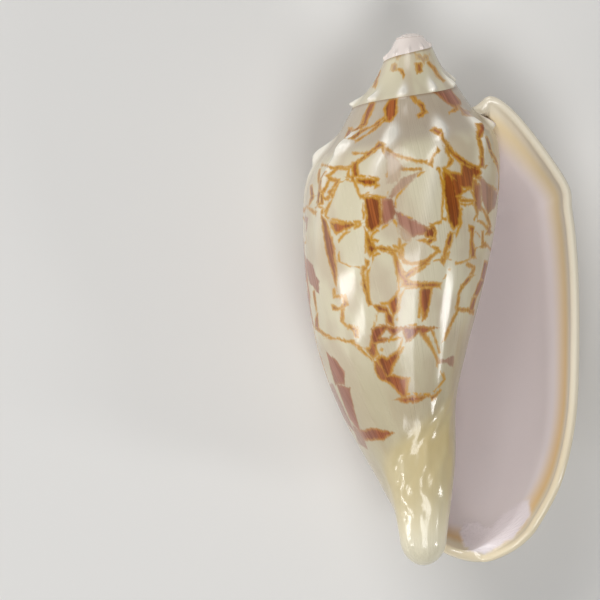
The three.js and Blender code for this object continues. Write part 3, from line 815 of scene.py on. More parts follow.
# Thin brown lines: the width in pixels and the points along it.
VENTRAL_LINES = [
    (3.5, [(380, 144), (372, 152), (365, 158), (357, 163), (354, 169)]),
    (5, [(377, 145), (382, 148)]),
    (3, [(353, 155), (368, 155)]),
    (3, [(382, 148), (394, 157), (412, 162), (424, 164)]),
    (2, [(400, 171), (420, 171)]),
    (3, [(322, 165), (336, 169), (352, 168)]),
    (2.5, [(328, 178), (334, 172), (338, 169)]),
    (3, [(328, 179), (338, 182), (333, 189), (329, 193), (334, 199), (330, 206), (324, 213)]),
    (2, [(320, 170), (319, 190), (317, 206)]),
    (2.5, [(318, 196), (325, 200), (329, 197)]),
    (3.5, [(352, 178), (354, 190), (358, 197), (364, 199)]),
    (5, [(432, 131), (440, 137), (445, 147), (451, 156), (464, 165), (476, 170)]),
    (3, [(437, 152), (431, 159), (429, 166)]),
    (3, [(443, 148), (450, 162), (446, 168)]),
    (4, [(478, 126), (477, 140), (480, 158), (480, 168)]),
    (3, [(485, 138), (489, 152), (496, 164), (498, 190)]),
    (3, [(458, 201), (472, 201)]),
    (4, [(470, 228), (469, 240), (472, 258)]),
    (3, [(477, 222), (484, 226), (489, 233)]),
    (2.5, [(481, 232), (481, 244), (490, 250)]),
    (4.5, [(450, 234), (446, 246), (442, 258), (438, 268)]),
    (4, [(430, 227), (434, 233), (433, 239), (424, 244), (427, 250), (437, 250)]),
    (3.5, [(376, 249), (388, 250), (397, 252), (400, 258)]),
    (3.5, [(400, 256), (405, 263), (416, 265), (424, 262), (432, 254), (437, 251)]),
    (4, [(366, 262), (362, 274), (364, 287), (369, 303)]),
    (6, [(391, 253), (395, 263), (398, 274), (405, 283)]),
    (4, [(424, 262), (413, 271), (404, 278)]),
    (5, [(402, 284), (420, 286), (438, 287)]),
    (3, [(466, 264), (472, 268), (470, 275), (461, 286)]),
    (4, [(485, 262), (481, 280), (474, 296), (470, 310)]),
    (3.5, [(456, 310), (472, 312)]),
    (3, [(456, 311), (447, 328), (443, 340)]),
    (3, [(333, 288), (334, 295), (343, 296), (345, 303), (341, 308), (333, 308)]),
    (3.5, [(342, 310), (342, 321), (348, 327), (355, 330), (356, 338)]),
    (3.5, [(317, 328), (328, 337), (345, 341), (354, 341)]),
    (3.5, [(352, 342), (360, 348), (372, 360)]),
    (2.5, [(314, 292), (317, 312), (317, 328)]),
    (5, [(422, 333), (430, 350), (436, 362)]),
    (2, [(430, 330), (438, 352)]),
    (2.5, [(430, 397), (440, 390)]),
    (3, [(346, 138), (350, 130), (360, 128), (365, 124)]),
    (2.5, [(350, 140), (360, 133), (375, 126), (384, 119)]),
    (2.5, [(356, 142), (366, 136), (376, 128), (385, 121)]),
    (4, [(411, 96), (415, 102), (421, 108), (424, 114), (417, 118)]),
    (3, [(428, 63), (433, 69), (437, 76), (443, 82)]),
    (2.5, [(379, 73), (377, 80), (374, 88)]),
    (2.5, [(398, 70), (403, 76)]),
    (2.5, [(452, 103), (456, 110), (448, 114)]),
    (2, [(326, 172), (321, 180), (320, 192), (318, 204)]),
    (2.5, [(330, 178), (327, 186), (322, 195), (322, 204), (316, 208)]),
    (2, [(345, 174), (349, 178), (354, 182)]),
    (2.5, [(318, 207), (323, 209), (322, 214)]),
    (2.5, [(457, 194), (461, 192), (468, 190), (473, 197)]),
    (2.5, [(459, 205), (464, 206), (469, 205)]),
    (2.5, [(458, 211), (456, 218)]),
    (2.5, [(477, 206), (484, 214), (489, 226), (486, 234)]),
    (2.5, [(484, 244), (479, 247), (474, 250), (471, 257)]),
    (2, [(474, 232), (479, 238)]),
    (2.5, [(424, 240), (418, 242), (427, 247)]),
    (2.5, [(398, 240), (399, 250), (401, 258), (404, 263)]),
    (2.5, [(396, 268), (401, 272), (408, 274), (412, 269)]),
    (2.5, [(399, 271), (402, 277), (408, 283)]),
    (2, [(440, 219), (444, 221)]),
    (2, [(461, 286), (457, 296), (456, 309)]),
]
DORSAL_LINES = [
    (3, [(55, 195), (50, 204), (40, 214)]),
    (3, [(56, 209), (70, 214), (88, 206), (100, 200), (108, 192), (116, 184)]),
    (3, [(60, 170), (52, 188), (46, 204)]),
    (3, [(189, 182), (198, 186), (208, 184), (214, 174)]),
    (4, [(220, 172), (225, 160), (215, 148), (200, 138), (190, 126)]),
    (3, [(140, 240), (132, 236), (120, 238)]),
    (3, [(166, 222), (150, 236), (141, 241)]),
    (5, [(172, 218), (176, 230), (184, 246)]),
    (4, [(224, 198), (206, 212), (196, 220), (190, 230)]),
    (3, [(212, 198), (232, 197), (236, 203)]),
    (4, [(232, 210), (244, 206), (258, 200), (270, 206)]),
    (3, [(258, 180), (264, 190), (262, 200)]),
    (4, [(52, 240), (46, 254), (50, 272), (60, 278)]),
    (3, [(30, 236), (36, 250), (40, 270), (38, 300)]),
    (3, [(60, 228), (70, 230), (84, 236), (88, 250), (90, 268)]),
    (3, [(98, 234), (104, 222), (110, 224), (116, 240), (114, 258)]),
    (5, [(122, 246), (136, 242), (140, 246)]),
    (3, [(118, 262), (140, 262)]),
    (3, [(120, 274), (140, 275)]),
    (3, [(104, 372), (100, 378), (112, 382), (122, 380)]),
    (4, [(124, 372), (120, 384), (124, 392), (140, 392), (152, 386)]),
    (3, [(140, 392), (134, 402), (130, 410), (110, 408), (108, 402), (120, 396)]),
    (4, [(130, 412), (150, 417), (172, 414), (184, 408)]),
    (3, [(157, 362), (158, 376), (176, 377), (186, 365)]),
    (4, [(200, 362), (186, 374), (168, 390), (178, 396), (196, 394), (206, 380)]),
    (3, [(216, 352), (204, 353), (190, 350)]),
    (3, [(244, 312), (246, 330), (250, 352), (240, 378), (224, 380)]),
    (3, [(258, 300), (256, 320), (252, 336)]),
    (4, [(92, 398), (82, 404), (72, 418), (63, 430), (66, 436), (84, 440)]),
    (3, [(60, 400), (54, 412), (46, 428), (50, 440), (60, 450)]),
    (3, [(112, 426), (132, 428)]),
    (3, [(50, 458), (58, 470), (62, 484), (68, 498), (66, 508)]),
    (3, [(97, 480), (104, 488), (124, 489), (140, 482)]),
    (4, [(106, 528), (118, 532), (122, 546)]),
    (3, [(124, 556), (140, 548), (150, 546)]),
]

# Markings on the side next to the lip, guessed in the same manner.
LIP_RADIUS = 25
LIP_TENTS = [
    [(14, 0), (9, 6), (11, 11), (16, 10)],
    [(6, 3), (2, 11), (5, 14), (9, 10)],
    [(12, 15), (6, 24), (10, 27), (16, 23)],
    [(4, 18), (1.5, 24), (4, 28), (6.5, 25)],
    [(15, 28), (10, 36), (13, 40), (18, 38)],
    [(7, 31), (2.5, 40), (7, 43), (10.5, 38)],
    [(13, 45), (8, 52), (12, 55), (17, 51)],
    [(5, 47), (2, 53), (5, 56), (7.5, 52)],
]
LIP_PATCHES = [
    (0.2, 1.0, [(9, 11), (15, 12), (13, 17), (10.5, 15)]),
    (0.8, 0.7, [(2, 13), (6, 15), (5, 20), (2.5, 18)]),
    (0.05, 1.0, [(6, 25), (9, 27), (8.5, 33), (6.5, 30)]),
    (0.3, 1.0, [(10, 27), (16, 24), (17, 29), (14, 31), (11, 33)]),
    (0.9, 0.8, [(1.5, 28), (5, 29), (4, 37), (2, 34)]),
    (0.1, 1.0, [(7, 43), (11, 40), (13, 44), (9, 50), (7, 47)]),
    (0.6, 0.9, [(13, 55), (17, 53), (16, 60), (13, 59)]),
    (0.2, 0.9, [(3, 43), (6, 45), (4.5, 48)]),
]
LIP_LINES = [
    (0.7, [(16, -3), (14, 0), (9, 6), (8, 11)]),
    (0.5, [(8, -1), (6, 3), (2, 11), (2, 15)]),
    (0.6, [(9, 10), (11, 14), (12, 15), (6, 24), (5, 29)]),
    (0.5, [(11, 11), (16, 10), (17, 14), (16, 22)]),
    (0.6, [(5, 14), (4, 18), (1.5, 24), (1.5, 30)]),
    (0.6, [(16, 23), (15, 28), (10, 36), (11, 40)]),
    (0.5, [(10, 27), (7, 31), (2.5, 40), (3, 45)]),
    (0.6, [(13, 40), (13, 45), (8, 52), (9, 57), (7, 61)]),
    (0.5, [(7, 43), (5, 47), (2, 53), (3, 58)]),
    (0.4, [(5, 56), (8, 58), (12, 55)]),
    (0.4, [(9, 17), (11, 19), (9, 20)]),
]

# How mauve and how solid lines are, and how much wider than listed.
LINE_TONE = 0.05
LINE_STRENGTH = 0.95
LINE_WIDEN = 1.2

# Where the glaze over the pillar begins, in pixels of the mouth's view.
CALLUS = [(456, 372), (432, 401), (397, 432), (384, 459), (383, 486), (400, 566), (456, 566)]

# The pearly crust low inside the mouth, as convex outlines in pixels of the mouth's view.
PEARL_CRUST = [
    [(460, 534), (466, 524), (480, 524), (492, 533), (486, 550), (465, 549)],
    [(484, 532), (502, 518), (516, 503), (530, 500), (532, 516), (514, 540), (490, 550)],
    [(474, 530), (492, 528), (506, 532), (504, 546), (486, 556), (468, 552)],
]

# How far in from the lip the crust goes, in millimetres, and its soft edge, in pixels.
CRUST_REACH = 25
CRUST_EDGE = (-4, 3)

# The glaze's soft edge, in millimetres.
GLAZE_EDGE = (-1.5, 1.5)

# A distance past every shape, and the reach in millimetres within which a face knows a shape.
FAR = 100.0
SHAPE_REACH = 8

# A point is seen where it faces the view by this share. Points more than so many degrees apart are on
# other whorls, and the nearest points to a pixel lie within so many degrees of the first.
FACING = 0.05
OTHER_WHORL = 120
SAME_WHORL = 20
NEAREST = 4
HALF_PIXEL = 0.5


# The outer face's points as one view in the photograph shows them.
class View:
    def __init__(self, outer, azimuth, apex, lean):
        body = np.s_[: COLUMNS + 1, :]
        spire = np.s_[COLUMNS:, : RAMP_ROWS + 1]
        toward = np.array([cos(radians(azimuth)), sin(radians(azimuth)), 0])
        self.right = np.array([-toward[1], toward[0], 0])
        self.apex = apex
        self.lean = radians(lean)
        blocks = []
        for block in (body, spire):
            points = outer.points[block]
            normal = unit(np.cross(np.gradient(points, axis=1), np.gradient(points, axis=0)))
            seen = normal @ toward > FACING
            shown = points[seen]
            radius = np.hypot(shown[:, 0], shown[:, 1])
            blocks.append((self.pixels(shown), outer.angles[block][seen], outer.down[block][seen], radius))
        self.seen, self.angle, self.down, self.radius = (np.concatenate(part) for part in zip(*blocks))

    def pixels(self, points):
        across = points @ self.right
        below = SHELL_LENGTH - points[:, 2]
        x = across * cos(self.lean) + below * sin(self.lean)
        y = below * cos(self.lean) - across * sin(self.lean)
        return np.stack([x, y], axis=1) * PIXELS_PER_MM + np.array(self.apex)

    # The angle, distance down and radius on the shell under a pixel. Where an angle is given, the
    # whorl is the one that it belongs to.
    def under(self, pixel, about=None):
        gap = np.linalg.norm(self.seen - np.array(pixel), axis=1)
        if about is not None:
            gap = gap + FAR * (np.abs(self.angle - about) > OTHER_WHORL)
        near = np.argsort(gap)[:NEAREST]
        near = near[np.abs(self.angle[near] - self.angle[near[0]]) < SAME_WHORL]
        weight = 1 / (gap[near] + HALF_PIXEL) ** 2
        weight = weight / weight.sum()
        return [float(value[near] @ weight) for value in (self.angle, self.down, self.radius)]

    def places(self, outline):
        centre = self.under(np.mean(outline, axis=0))
        return np.array([self.under(pixel, centre[0]) for pixel in outline])


# The side next to the lip, that neither view shows, in millimetres round from the lip and down.
class LipSide:
    def places(self, outline):
        degree = radians(1) * LIP_RADIUS
        return np.array([(across / degree, down, LIP_RADIUS) for across, down in outline])


# The sides of a convex outline: the direction out of each, and how far out it is.
def convex_sides(corners):
    sides = np.roll(corners, -1, axis=0) - corners
    normals = unit(np.stack([sides[:, 1], -sides[:, 0]], axis=1))
    offsets = (normals * corners).sum(axis=1)
    if (normals @ corners.mean(axis=0)).mean() > offsets.mean():
        return -normals, -offsets
    return normals, offsets


# A convex outline on the unrolled shell, as the signed distances to its sides in millimetres.
class Shape:
    def __init__(self, view, outline, tone=0.0, strength=1.0):
        places = view.places(outline)
        self.tone = tone
        self.strength = strength
        self.angle, self.down, radius = places.mean(axis=0)
        self.scale = radians(1) * radius
        self.normals, self.offsets = convex_sides(self.flat(places[:, 0], places[:, 1]))

    def flat(self, angle, down):
        return np.stack([(angle - self.angle) * self.scale, down - self.down], axis=-1)

    def distances(self, angle, down):
        return self.flat(angle, down) @ self.normals.T - self.offsets


# Thin quadrilaterals along a line, each running on past its ends by a third of its width.
def line_shapes(view, width, path):
    shapes = []
    for start, end in zip(path[:-1], path[1:]):
        start = np.array(start, float)
        end = np.array(end, float)
        along = unit(end - start)
        side = np.array([-along[1], along[0]]) * LINE_WIDEN * width / 2
        overrun = along * width / 3
        start = start - overrun
        end = end + overrun
        outline = [start + side, end + side, end - side, start - side]
        shapes.append(Shape(view, outline, LINE_TONE, LINE_STRENGTH))
    return shapes


# The nearest tents and patches that a face knows, by the names that the material reads.
TENT_NAMES = ["tent_a", "tent_b"]
PATCH_NAMES = ["patch_a", "patch_b", "patch_c"]
SIDES = 3


# For each face, the sides of the nearest shapes: some distances at each corner for each shape.
def nearest_sides(shapes, angle, down, count):
    centre = (angle.mean(axis=1), down.mean(axis=1))
    gaps = np.stack([shape.distances(*centre).max(axis=1) for shape in shapes], axis=1)
    order = np.argsort(gaps, axis=1)[:, :count]
    sides = np.full((count,) + angle.shape + (SIDES,), FAR, np.float32)
    for number, shape in enumerate(shapes):
        for rank in range(count):
            face = np.nonzero((order[:, rank] == number) & (gaps[:, number] < SHAPE_REACH))[0]
            if len(face) == 0:
                continue
            at_centre = shape.distances(centre[0][face], centre[1][face])
            chosen = np.argsort(-at_centre, axis=1)[:, None, :SIDES]
            at_corners = shape.distances(angle[face], down[face])
            sides[rank, face] = np.take_along_axis(at_corners, chosen, axis=2)
    return sides


# How mauve and how solid the brown is far from any patch, and how patches blend, in millimetres.
PLAIN_TONE = 0.2
PLAIN_STRENGTH = 1.0
BLEND_START = -0.5
BLEND_REACH = 0.3


# How mauve and how solid the brown is, blended between the patches near a corner.
def tones(shapes, angle, down):
    total = np.full(angle.shape, 1e-6)
    tone = total * PLAIN_TONE
    strength = total * PLAIN_STRENGTH
    for shape in shapes:
        gap = shape.distances(angle, down).max(axis=-1)
        weight = np.exp(-np.maximum(gap, BLEND_START) / BLEND_REACH)
        total += weight
        tone += weight * shape.tone
        strength += weight * shape.strength
    return tone / total, strength / total


# How the shell lies: turned about its axis, laid on its back, the apex end lowered.
def rest_rotation():
    roll = Matrix.Rotation(radians(REST_ROLL), 3, "Z")
    back = Matrix.Rotation(radians(-90 + REST_PITCH), 3, "X")
    return back @ roll


REST = np.array(rest_rotation())


def rest_offset(points):
    low = points.min(axis=0)
    high = points.max(axis=0)
    return np.array([-(low[0] + high[0]) / 2, -(low[1] + high[1]) / 2, -low[2]])


# Growth lines lean: degrees round the shell for each millimetre down it. The noise that follows them
# takes a degree as this many millimetres.
GROWTH_LEAN = 0.6
GROWTH_SCALE = 0.35


# The tents, patches and glaze of all views, on the unrolled shell.
def view_shapes(outer, ventral):
    tents = []
    patches = []
    sources = [
        (ventral, VENTRAL_TENTS, VENTRAL_PATCHES, VENTRAL_LINES),
        (View(outer, **DORSAL), DORSAL_TENTS, DORSAL_PATCHES, DORSAL_LINES),
        (LipSide(), LIP_TENTS, LIP_PATCHES, LIP_LINES),
    ]
    for view, tent_outlines, patch_outlines, lines in sources:
        tents += [Shape(view, outline) for outline in tent_outlines]
        patches += [Shape(view, outline, tone, strength) for tone, strength, outline in patch_outlines]
        for width, path in lines:
            patches += line_shapes(view, width, path)
    return tents, patches, Shape(ventral, CALLUS)


# The share of the pearly crust at pixels of the mouth's view.
def crust_share(pixels):
    share = np.zeros(pixels.shape[:-1])
    for outline in PEARL_CRUST:
        normals, offsets = convex_sides(np.array(outline, float))
        gap = (pixels @ normals.T - offsets).max(axis=-1)
        share = np.maximum(share, 1 - smoothstep(gap, *CRUST_EDGE))
    return share


# The values that the material reads, for each corner of some faces. The outer face's grids have
# markings; the fans that close its ends have none.
def marking_values(values, pixels, tents, patches, callus):
    angle, down, inside, from_lip = (values[..., k] for k in (ANGLE, DOWN, INSIDE, FROM_LIP))
    growth = np.stack([(angle - GROWTH_LEAN * down) * GROWTH_SCALE, down, values[..., SUTURE]], axis=-1)
    side_names = TENT_NAMES + PATCH_NAMES
    sides = np.full((len(side_names),) + angle.shape + (SIDES,), FAR)
    tone = np.zeros(growth.shape)
    glaze = 0 * angle
    is_grid = angle.shape[1] == 4
    if is_grid and not inside.any():
        sides[:len(TENT_NAMES)] = nearest_sides(tents, angle, down, len(TENT_NAMES))
        sides[len(TENT_NAMES):] = nearest_sides(patches, angle, down, len(PATCH_NAMES))
        tone[..., 0], tone[..., 1] = tones(patches, angle, down)
        tone[..., 2] = values[..., KNOB]
        glaze = 1 - smoothstep(callus.distances(angle, down).max(axis=-1), *GLAZE_EDGE)
    elif inside.all():
        glaze = crust_share(pixels) * (from_lip < CRUST_REACH)
    zone = np.stack([inside, from_lip, glaze], axis=-1)
    return {"growth": growth, "zone": zone, "tone": tone, **dict(zip(side_names, sides))}


def add_shell():
    surface, outer = build_surface()
    grown = np.concatenate(surface.points)
    points = grown @ REST.T
    offset = rest_offset(points)
    mesh = bpy.data.meshes.new("shell_surface")
    faces = [face for numbers, _ in surface.faces for face in np.asarray(numbers).tolist()]
    mesh.from_pydata(((points + offset) / METRE).tolist(), [], faces)
    mesh.shade_smooth()
    ventral = View(outer, **VENTRAL)
    shapes = view_shapes(outer, ventral)
    pixels = ventral.pixels(grown)
    blocks = []
    for numbers, values in surface.faces:
        blocks.append(marking_values(np.asarray(values), pixels[numbers], *shapes))
    for name in blocks[0]:
        flat = np.concatenate([block[name].reshape(-1, 3) for block in blocks])
        attribute = mesh.attributes.new(name, "FLOAT_VECTOR", "CORNER")
        attribute.data.foreach_set("vector", flat.astype(np.float32).ravel())
    charts = [np.asarray(values)[..., FLAT_MAP].reshape(-1, 2) for _, values in surface.faces]
    layer = mesh.uv_layers.new(name="OFBake")
    layer.data.foreach_set("uv", np.concatenate(charts).astype(np.float32).ravel())
    mesh.materials.append(shell_material())
    shell = bpy.data.objects.new("shell_surface", mesh)
    bpy.context.scene.collection.objects.link(shell)
    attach(shell, "root")
    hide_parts("volute_shell")
    return offset


# Builds a material's nodes. A value is a number, a colour or another node's output.
class Shader:
    def __init__(self, name):
        self.material = bpy.data.materials.new(name)
        self.material.use_nodes = True
        self.tree = self.material.node_tree
        self.surface = self.tree.nodes["Principled BSDF"]

    def put(self, socket, value):
        if isinstance(value, bpy.types.NodeSocket):
            self.tree.links.new(value, socket)
        else:
            socket.default_value = value

    def node(self, kind, inputs, **settings):
        node = self.tree.nodes.new(kind)
        for name, value in settings.items():
            setattr(node, name, value)
        for name, value in inputs.items():
            self.put(node.inputs[name], value)
        return node

    def math(self, operation, first, second=0.0, third=0.0):
        inputs = {0: first, 1: second, 2: third}
        return self.node("ShaderNodeMath", inputs, operation=operation).outputs[0]

    def plus(self, first, second):
        return self.math("ADD", first, second)

    def minus(self, first, second):
        return self.math("SUBTRACT", first, second)

    def times(self, first, second):
        return self.math("MULTIPLY", first, second)

    def flip(self, share):
        return self.minus(1.0, share)

    def mix(self, share, first, second):
        inputs = {0: share, 6: first, 7: second}
        return self.node("ShaderNodeMix", inputs, data_type="RGBA").outputs[2]

    # 0 below low, 1 above high, smooth between.
    def step(self, value, low, high):
        inputs = {"Value": value, "From Min": low, "From Max": high}
        return self.node("ShaderNodeMapRange", inputs, interpolation_type="SMOOTHSTEP").outputs[0]

    def attribute(self, name):
        return self.node("ShaderNodeAttribute", {}, attribute_name=name).outputs["Vector"]

    def parts(self, vector):
        return self.node("ShaderNodeSeparateXYZ", {0: vector}).outputs

    def finish(self, inputs):
        for name, value in inputs.items():
            self.put(self.surface.inputs[name], value)
        return self.material


# A colour from the 0 to 255 values that a screen shows, by the sRGB curve.
def screen(red, green, blue):
    def linear(value):
        share = value / 255
        return share / 12.92 if share < 0.04045 else ((share + 0.055) / 1.055) ** 2.4
    return (linear(red), linear(green), linear(blue), 1.0)


CREAM = screen(220, 211, 182)
BLUSH = screen(206, 191, 164)
# Greyer ground on the concave ramp below the suture: painted shade.
RAMP_PAINTED_SHADE = screen(182, 166, 148)
TAN = screen(190, 176, 142)
# Whiter knobs and the folds below them: partly their own pale tips, partly painted highlight.
KNOB_WHITE_AND_HIGHLIGHT = screen(254, 248, 234)
APEX_PINK = screen(242, 230, 222)
# Brown-grey along the suture: partly a stain, partly painted shade in the crease.
SUTURE_STAIN_AND_SHADE = screen(140, 106, 72)
GOLD = screen(204, 151, 46)
ORANGE = screen(174, 92, 20)
DARK_BROWN = screen(128, 64, 12)
MAUVE = screen(172, 112, 94)
MAROON = screen(142, 78, 56)
GLAZE = screen(214, 203, 166)
GLAZE_GOLD = screen(206, 184, 130)
TIP_CREAM = screen(246, 238, 210)
RIM_WHITE = screen(240, 230, 208)
APRICOT = screen(244, 208, 148)
STRAW = screen(238, 219, 178)
LAVENDER = screen(246, 236, 235)
HOLLOW_SHADE = screen(234, 222, 219)
PEARL = screen(254, 244, 246)

# Where colours begin and end: in millimetres down from the shoulder, round the shell across the growth
# lines, or in from the lip.
RAMP_TOP = (-14.0, -11.0)
RAMP_FOOT = (-2.5, 1.0)
RAMP_END = (115.0, 135.0)
TAN_START = (30.0, 42.0)
TIP_START = (58.0, 72.0)
APEX_START = (290.0, 310.0)
GROWTH_LINES_END = (80.0, 130.0)
APRICOT_START = (-6.0, 45.0)
RIM_STRAW_START = (30.0, 52.0)
STAIN_START = (1.0, 3.2)
STAIN_END = (2.6, 7.0)
HOLLOW_SHADE_START = (16.0, 34.0)

# How strongly some colours cover those below them.
RAMP_PAINTED_SHADE_SHARE = 0.7
TAN_SHARE = 0.6
KNOB_WHITE_AND_HIGHLIGHT_SHARE = 2.2
SUTURE_STAIN_AND_SHADE_SHARE = 0.6
BORDER_SHARE = 0.9
RIM_STRAW_SHARE = 0.5

# The markings' edges, in millimetres: how far they are ragged, with a tent's share of that, how far
# they swing, how wide a tent's border is and how far it fades, how patches and borders run together,
# and where the brown and the gold at its edge begin and end.
RAGGED = 0.6
TENT_RAGGED = 0.7
SWING = 0.7
BORDER_WIDTH = 0.5
BORDER_FADE = 0.4
RUN_TOGETHER = 0.7
BROWN_EDGE = (-0.2, 0.25)
GOLD_EDGE = (-0.65, -0.12)
BORDER_EDGE = (0.0, 0.4)

# Noises: how fine they are across and along the growth lines, and the detail of some.
FINE_STREAKS = (2.6, 0.05, 3.0)
BROAD_STREAKS = (0.5, 0.03)
JAGS = (1.7, 1.2, 3.0)
SWINGS = (0.35, 0.3, 1.0)
CLOUDS = (0.12, 0.10)
GLAZE_CLOUDS = (0.04, 0.09)

# Values of the noises between which streaks and clouds show, tents' borders are wide or broken, and
# the crust has its edge.
STREAK_RANGE = (0.78, 1.2)
CLOUD_RANGE = (0.35, 0.7)
WIDE_RANGE = (0.4, 0.62)
BROKEN_RANGE = (0.5, 0.4)
CRUST_RANGE = (0.05, 0.95)

# The relief: how much the glaze smooths the growth lines, how strong the crust's wrinkles are beside
# them, and how high all of it is, in metres.
GLAZE_SMOOTHING = 0.8
WRINKLES = 1.2
RELIEF = 0.00013
RELIEF_STRENGTH = 0.8


# The shell's material, from the values at its face corners.
class ShellShader(Shader):
    def __init__(self):
        super().__init__("shell")
        self.growth = self.attribute("growth")
        self.around, self.down, self.suture = self.parts(self.growth)
        self.inside, self.from_lip, self.glazed = self.parts(self.attribute("zone"))
        self.tone, self.strength, self.knob = self.parts(self.attribute("tone"))
        self.streaks = self.plus(self.noise(*FINE_STREAKS), self.noise(*BROAD_STREAKS))
        self.jag = self.noise(*JAGS)
        self.ragged = self.times(self.minus(self.jag, 0.5), RAGGED)
        self.crust = self.step(self.plus(self.glazed, self.ragged), *CRUST_RANGE)
        self.at_tip = self.step(self.down, *TIP_START)

    # Noise stretched by a factor across and along the growth lines.
    def noise(self, across, along, detail=2.0):
        inputs = {0: self.growth, 1: (across, along, 1.0)}
        scaled = self.node("ShaderNodeVectorMath", inputs, operation="MULTIPLY").outputs[0]
        inputs = {"Vector": scaled, "Scale": 1.0, "Detail": detail}
        return self.node("ShaderNodeTexNoise", inputs, noise_dimensions="2D").outputs[0]

    # The distance to a shape from the distances to its sides.
    def outline(self, name):
        first, second, third = self.parts(self.attribute(name))
        return self.math("MAXIMUM", first, self.math("MAXIMUM", second, third))

    def nearest(self, names):
        gap = self.outline(names[0])
        for name in names[1:]:
            gap = self.math("MINIMUM", gap, self.outline(name))
        return gap

    # The distance out from the brown's edge, how solid the brown is, and how mauve. Patches and the
    # outlines of tents run together where they are close; tents are left clear.
    def markings(self):
        swing = self.noise(*SWINGS)
        swung = self.times(self.minus(swing, 0.5), SWING)
        patch = self.plus(self.nearest(PATCH_NAMES), self.plus(self.ragged, swung))
        tent = self.plus(self.nearest(TENT_NAMES), self.times(self.ragged, TENT_RAGGED))
        width = self.times(self.step(swing, *WIDE_RANGE), BORDER_WIDTH)
        within = self.times(tent, -1.0)
        border = self.math("MAXIMUM", self.minus(tent, width), within)
        border = self.plus(border, self.times(self.step(swing, *BROKEN_RANGE), BORDER_FADE))
        edge = self.math("SMOOTH_MIN", patch, border, RUN_TOGETHER)
        edge = self.math("MAXIMUM", edge, within)
        on_border = self.step(self.minus(patch, border), *BORDER_EDGE)
        strength = self.math("MAXIMUM", self.strength, self.times(on_border, BORDER_SHARE))
        return edge, strength, self.times(self.tone, self.flip(on_border))

    # Gold at the edges, streaked brown within, or mauve.
    def brown(self, edge, tone):
        streak = self.step(self.streaks, *STREAK_RANGE)
        deep = self.flip(self.step(edge, *GOLD_EDGE))
        plain = self.mix(deep, GOLD, self.mix(streak, ORANGE, DARK_BROWN))
        return self.mix(tone, plain, self.mix(streak, MAUVE, MAROON))

    # The ground colour: clouded, greyer on the ramp as painted shade, tan low down, pale on the tip and
    # apex, and whiter on the knobs, partly their pale tips and partly painted highlight.
    def cream(self):
        cream = self.mix(self.step(self.noise(*CLOUDS), *CLOUD_RANGE), CREAM, BLUSH)
        # Painted shade on the ramp between the suture and the shoulder.
        painted_ramp_shade = self.times(self.step(self.down, *RAMP_TOP), self.flip(self.step(self.down, *RAMP_FOOT)))
        painted_ramp_shade = self.times(painted_ramp_shade, self.flip(self.step(self.around, *RAMP_END)))
        cream = self.mix(self.times(painted_ramp_shade, RAMP_PAINTED_SHADE_SHARE), cream, RAMP_PAINTED_SHADE)
        cream = self.mix(self.times(self.step(self.down, *TAN_START), TAN_SHARE), cream, TAN)
        cream = self.mix(self.at_tip, cream, TIP_CREAM)
        # Knobs whitened: partly their pale tips, partly painted highlight.
        cream = self.mix(self.times(self.knob, KNOB_WHITE_AND_HIGHLIGHT_SHARE), cream, KNOB_WHITE_AND_HIGHLIGHT)
        return self.mix(self.step(self.around, *APEX_START), cream, APEX_PINK)

    def outside(self):
        edge, strength, tone = self.markings()
        covered = self.times(self.flip(self.step(edge, *BROWN_EDGE)), strength)
        outside = self.mix(covered, self.cream(), self.brown(edge, tone))
        glaze = self.mix(self.noise(*GLAZE_CLOUDS), GLAZE, GLAZE_GOLD)
        glaze = self.mix(self.at_tip, glaze, TIP_CREAM)
        outside = self.mix(self.glazed, outside, glaze)
        # Darker along the suture: partly a stain, partly painted shade in the crease.
        return self.mix(self.times(self.suture, SUTURE_STAIN_AND_SHADE_SHARE), outside, SUTURE_STAIN_AND_SHADE)

    # From the lip inward: the rim, the stain behind it, the hollow, darker deeper in as painted shade, and
    # the crust low down in it.
    def hollow(self):
        straw = self.times(self.step(self.down, *RIM_STRAW_START), RIM_STRAW_SHARE)
        rim = self.mix(straw, RIM_WHITE, STRAW)
        stain = self.mix(self.step(self.down, *APRICOT_START), STRAW, APRICOT)
        hollow = self.mix(self.step(self.from_lip, *HOLLOW_SHADE_START), LAVENDER, HOLLOW_SHADE)
        hollow = self.mix(self.step(self.from_lip, *STAIN_END), stain, hollow)
        hollow = self.mix(self.step(self.from_lip, *STAIN_START), rim, hollow)
        return self.mix(self.crust, hollow, PEARL)

    # Growth lines outside, fainter under the glaze and gone on the spire, and wrinkles in the crust.
    def relief(self):
        rough = self.flip(self.math("MAXIMUM", self.inside, self.times(self.glazed, GLAZE_SMOOTHING)))
        rough = self.times(rough, self.flip(self.step(self.around, *GROWTH_LINES_END)))
        wrinkles = self.times(self.times(self.jag, self.inside), self.crust)
        height = self.math("MULTIPLY_ADD", self.streaks, rough, self.times(wrinkles, WRINKLES))
        inputs = {"Height": height, "Strength": RELIEF_STRENGTH, "Distance": RELIEF}
        return self.node("ShaderNodeBump", inputs).outputs[0]


def shell_material():
    shader = ShellShader()
    return shader.finish({
        "Base Color": shader.mix(shader.inside, shader.outside(), shader.hollow()),
        "Roughness": 0.4,
        "Specular IOR Level": 0.3,
        "Coat Weight": 0.8,
        "Coat Roughness": 0.13,
        "Normal": shader.relief(),
    })


STAGE_GREY = (0.8, 0.79, 0.77, 1.0)
STAGE_SIDE = 1.5


def floor_material():
    return Shader("floor").finish({"Base Color": STAGE_GREY, "Roughness": 0.9})


# The camera's distance and sensor in millimetres, its picture in pixels, and its reach in metres.
CAMERA_DISTANCE = 1200
SENSOR = 36
IMAGE = 600
CAMERA_REACH = 10


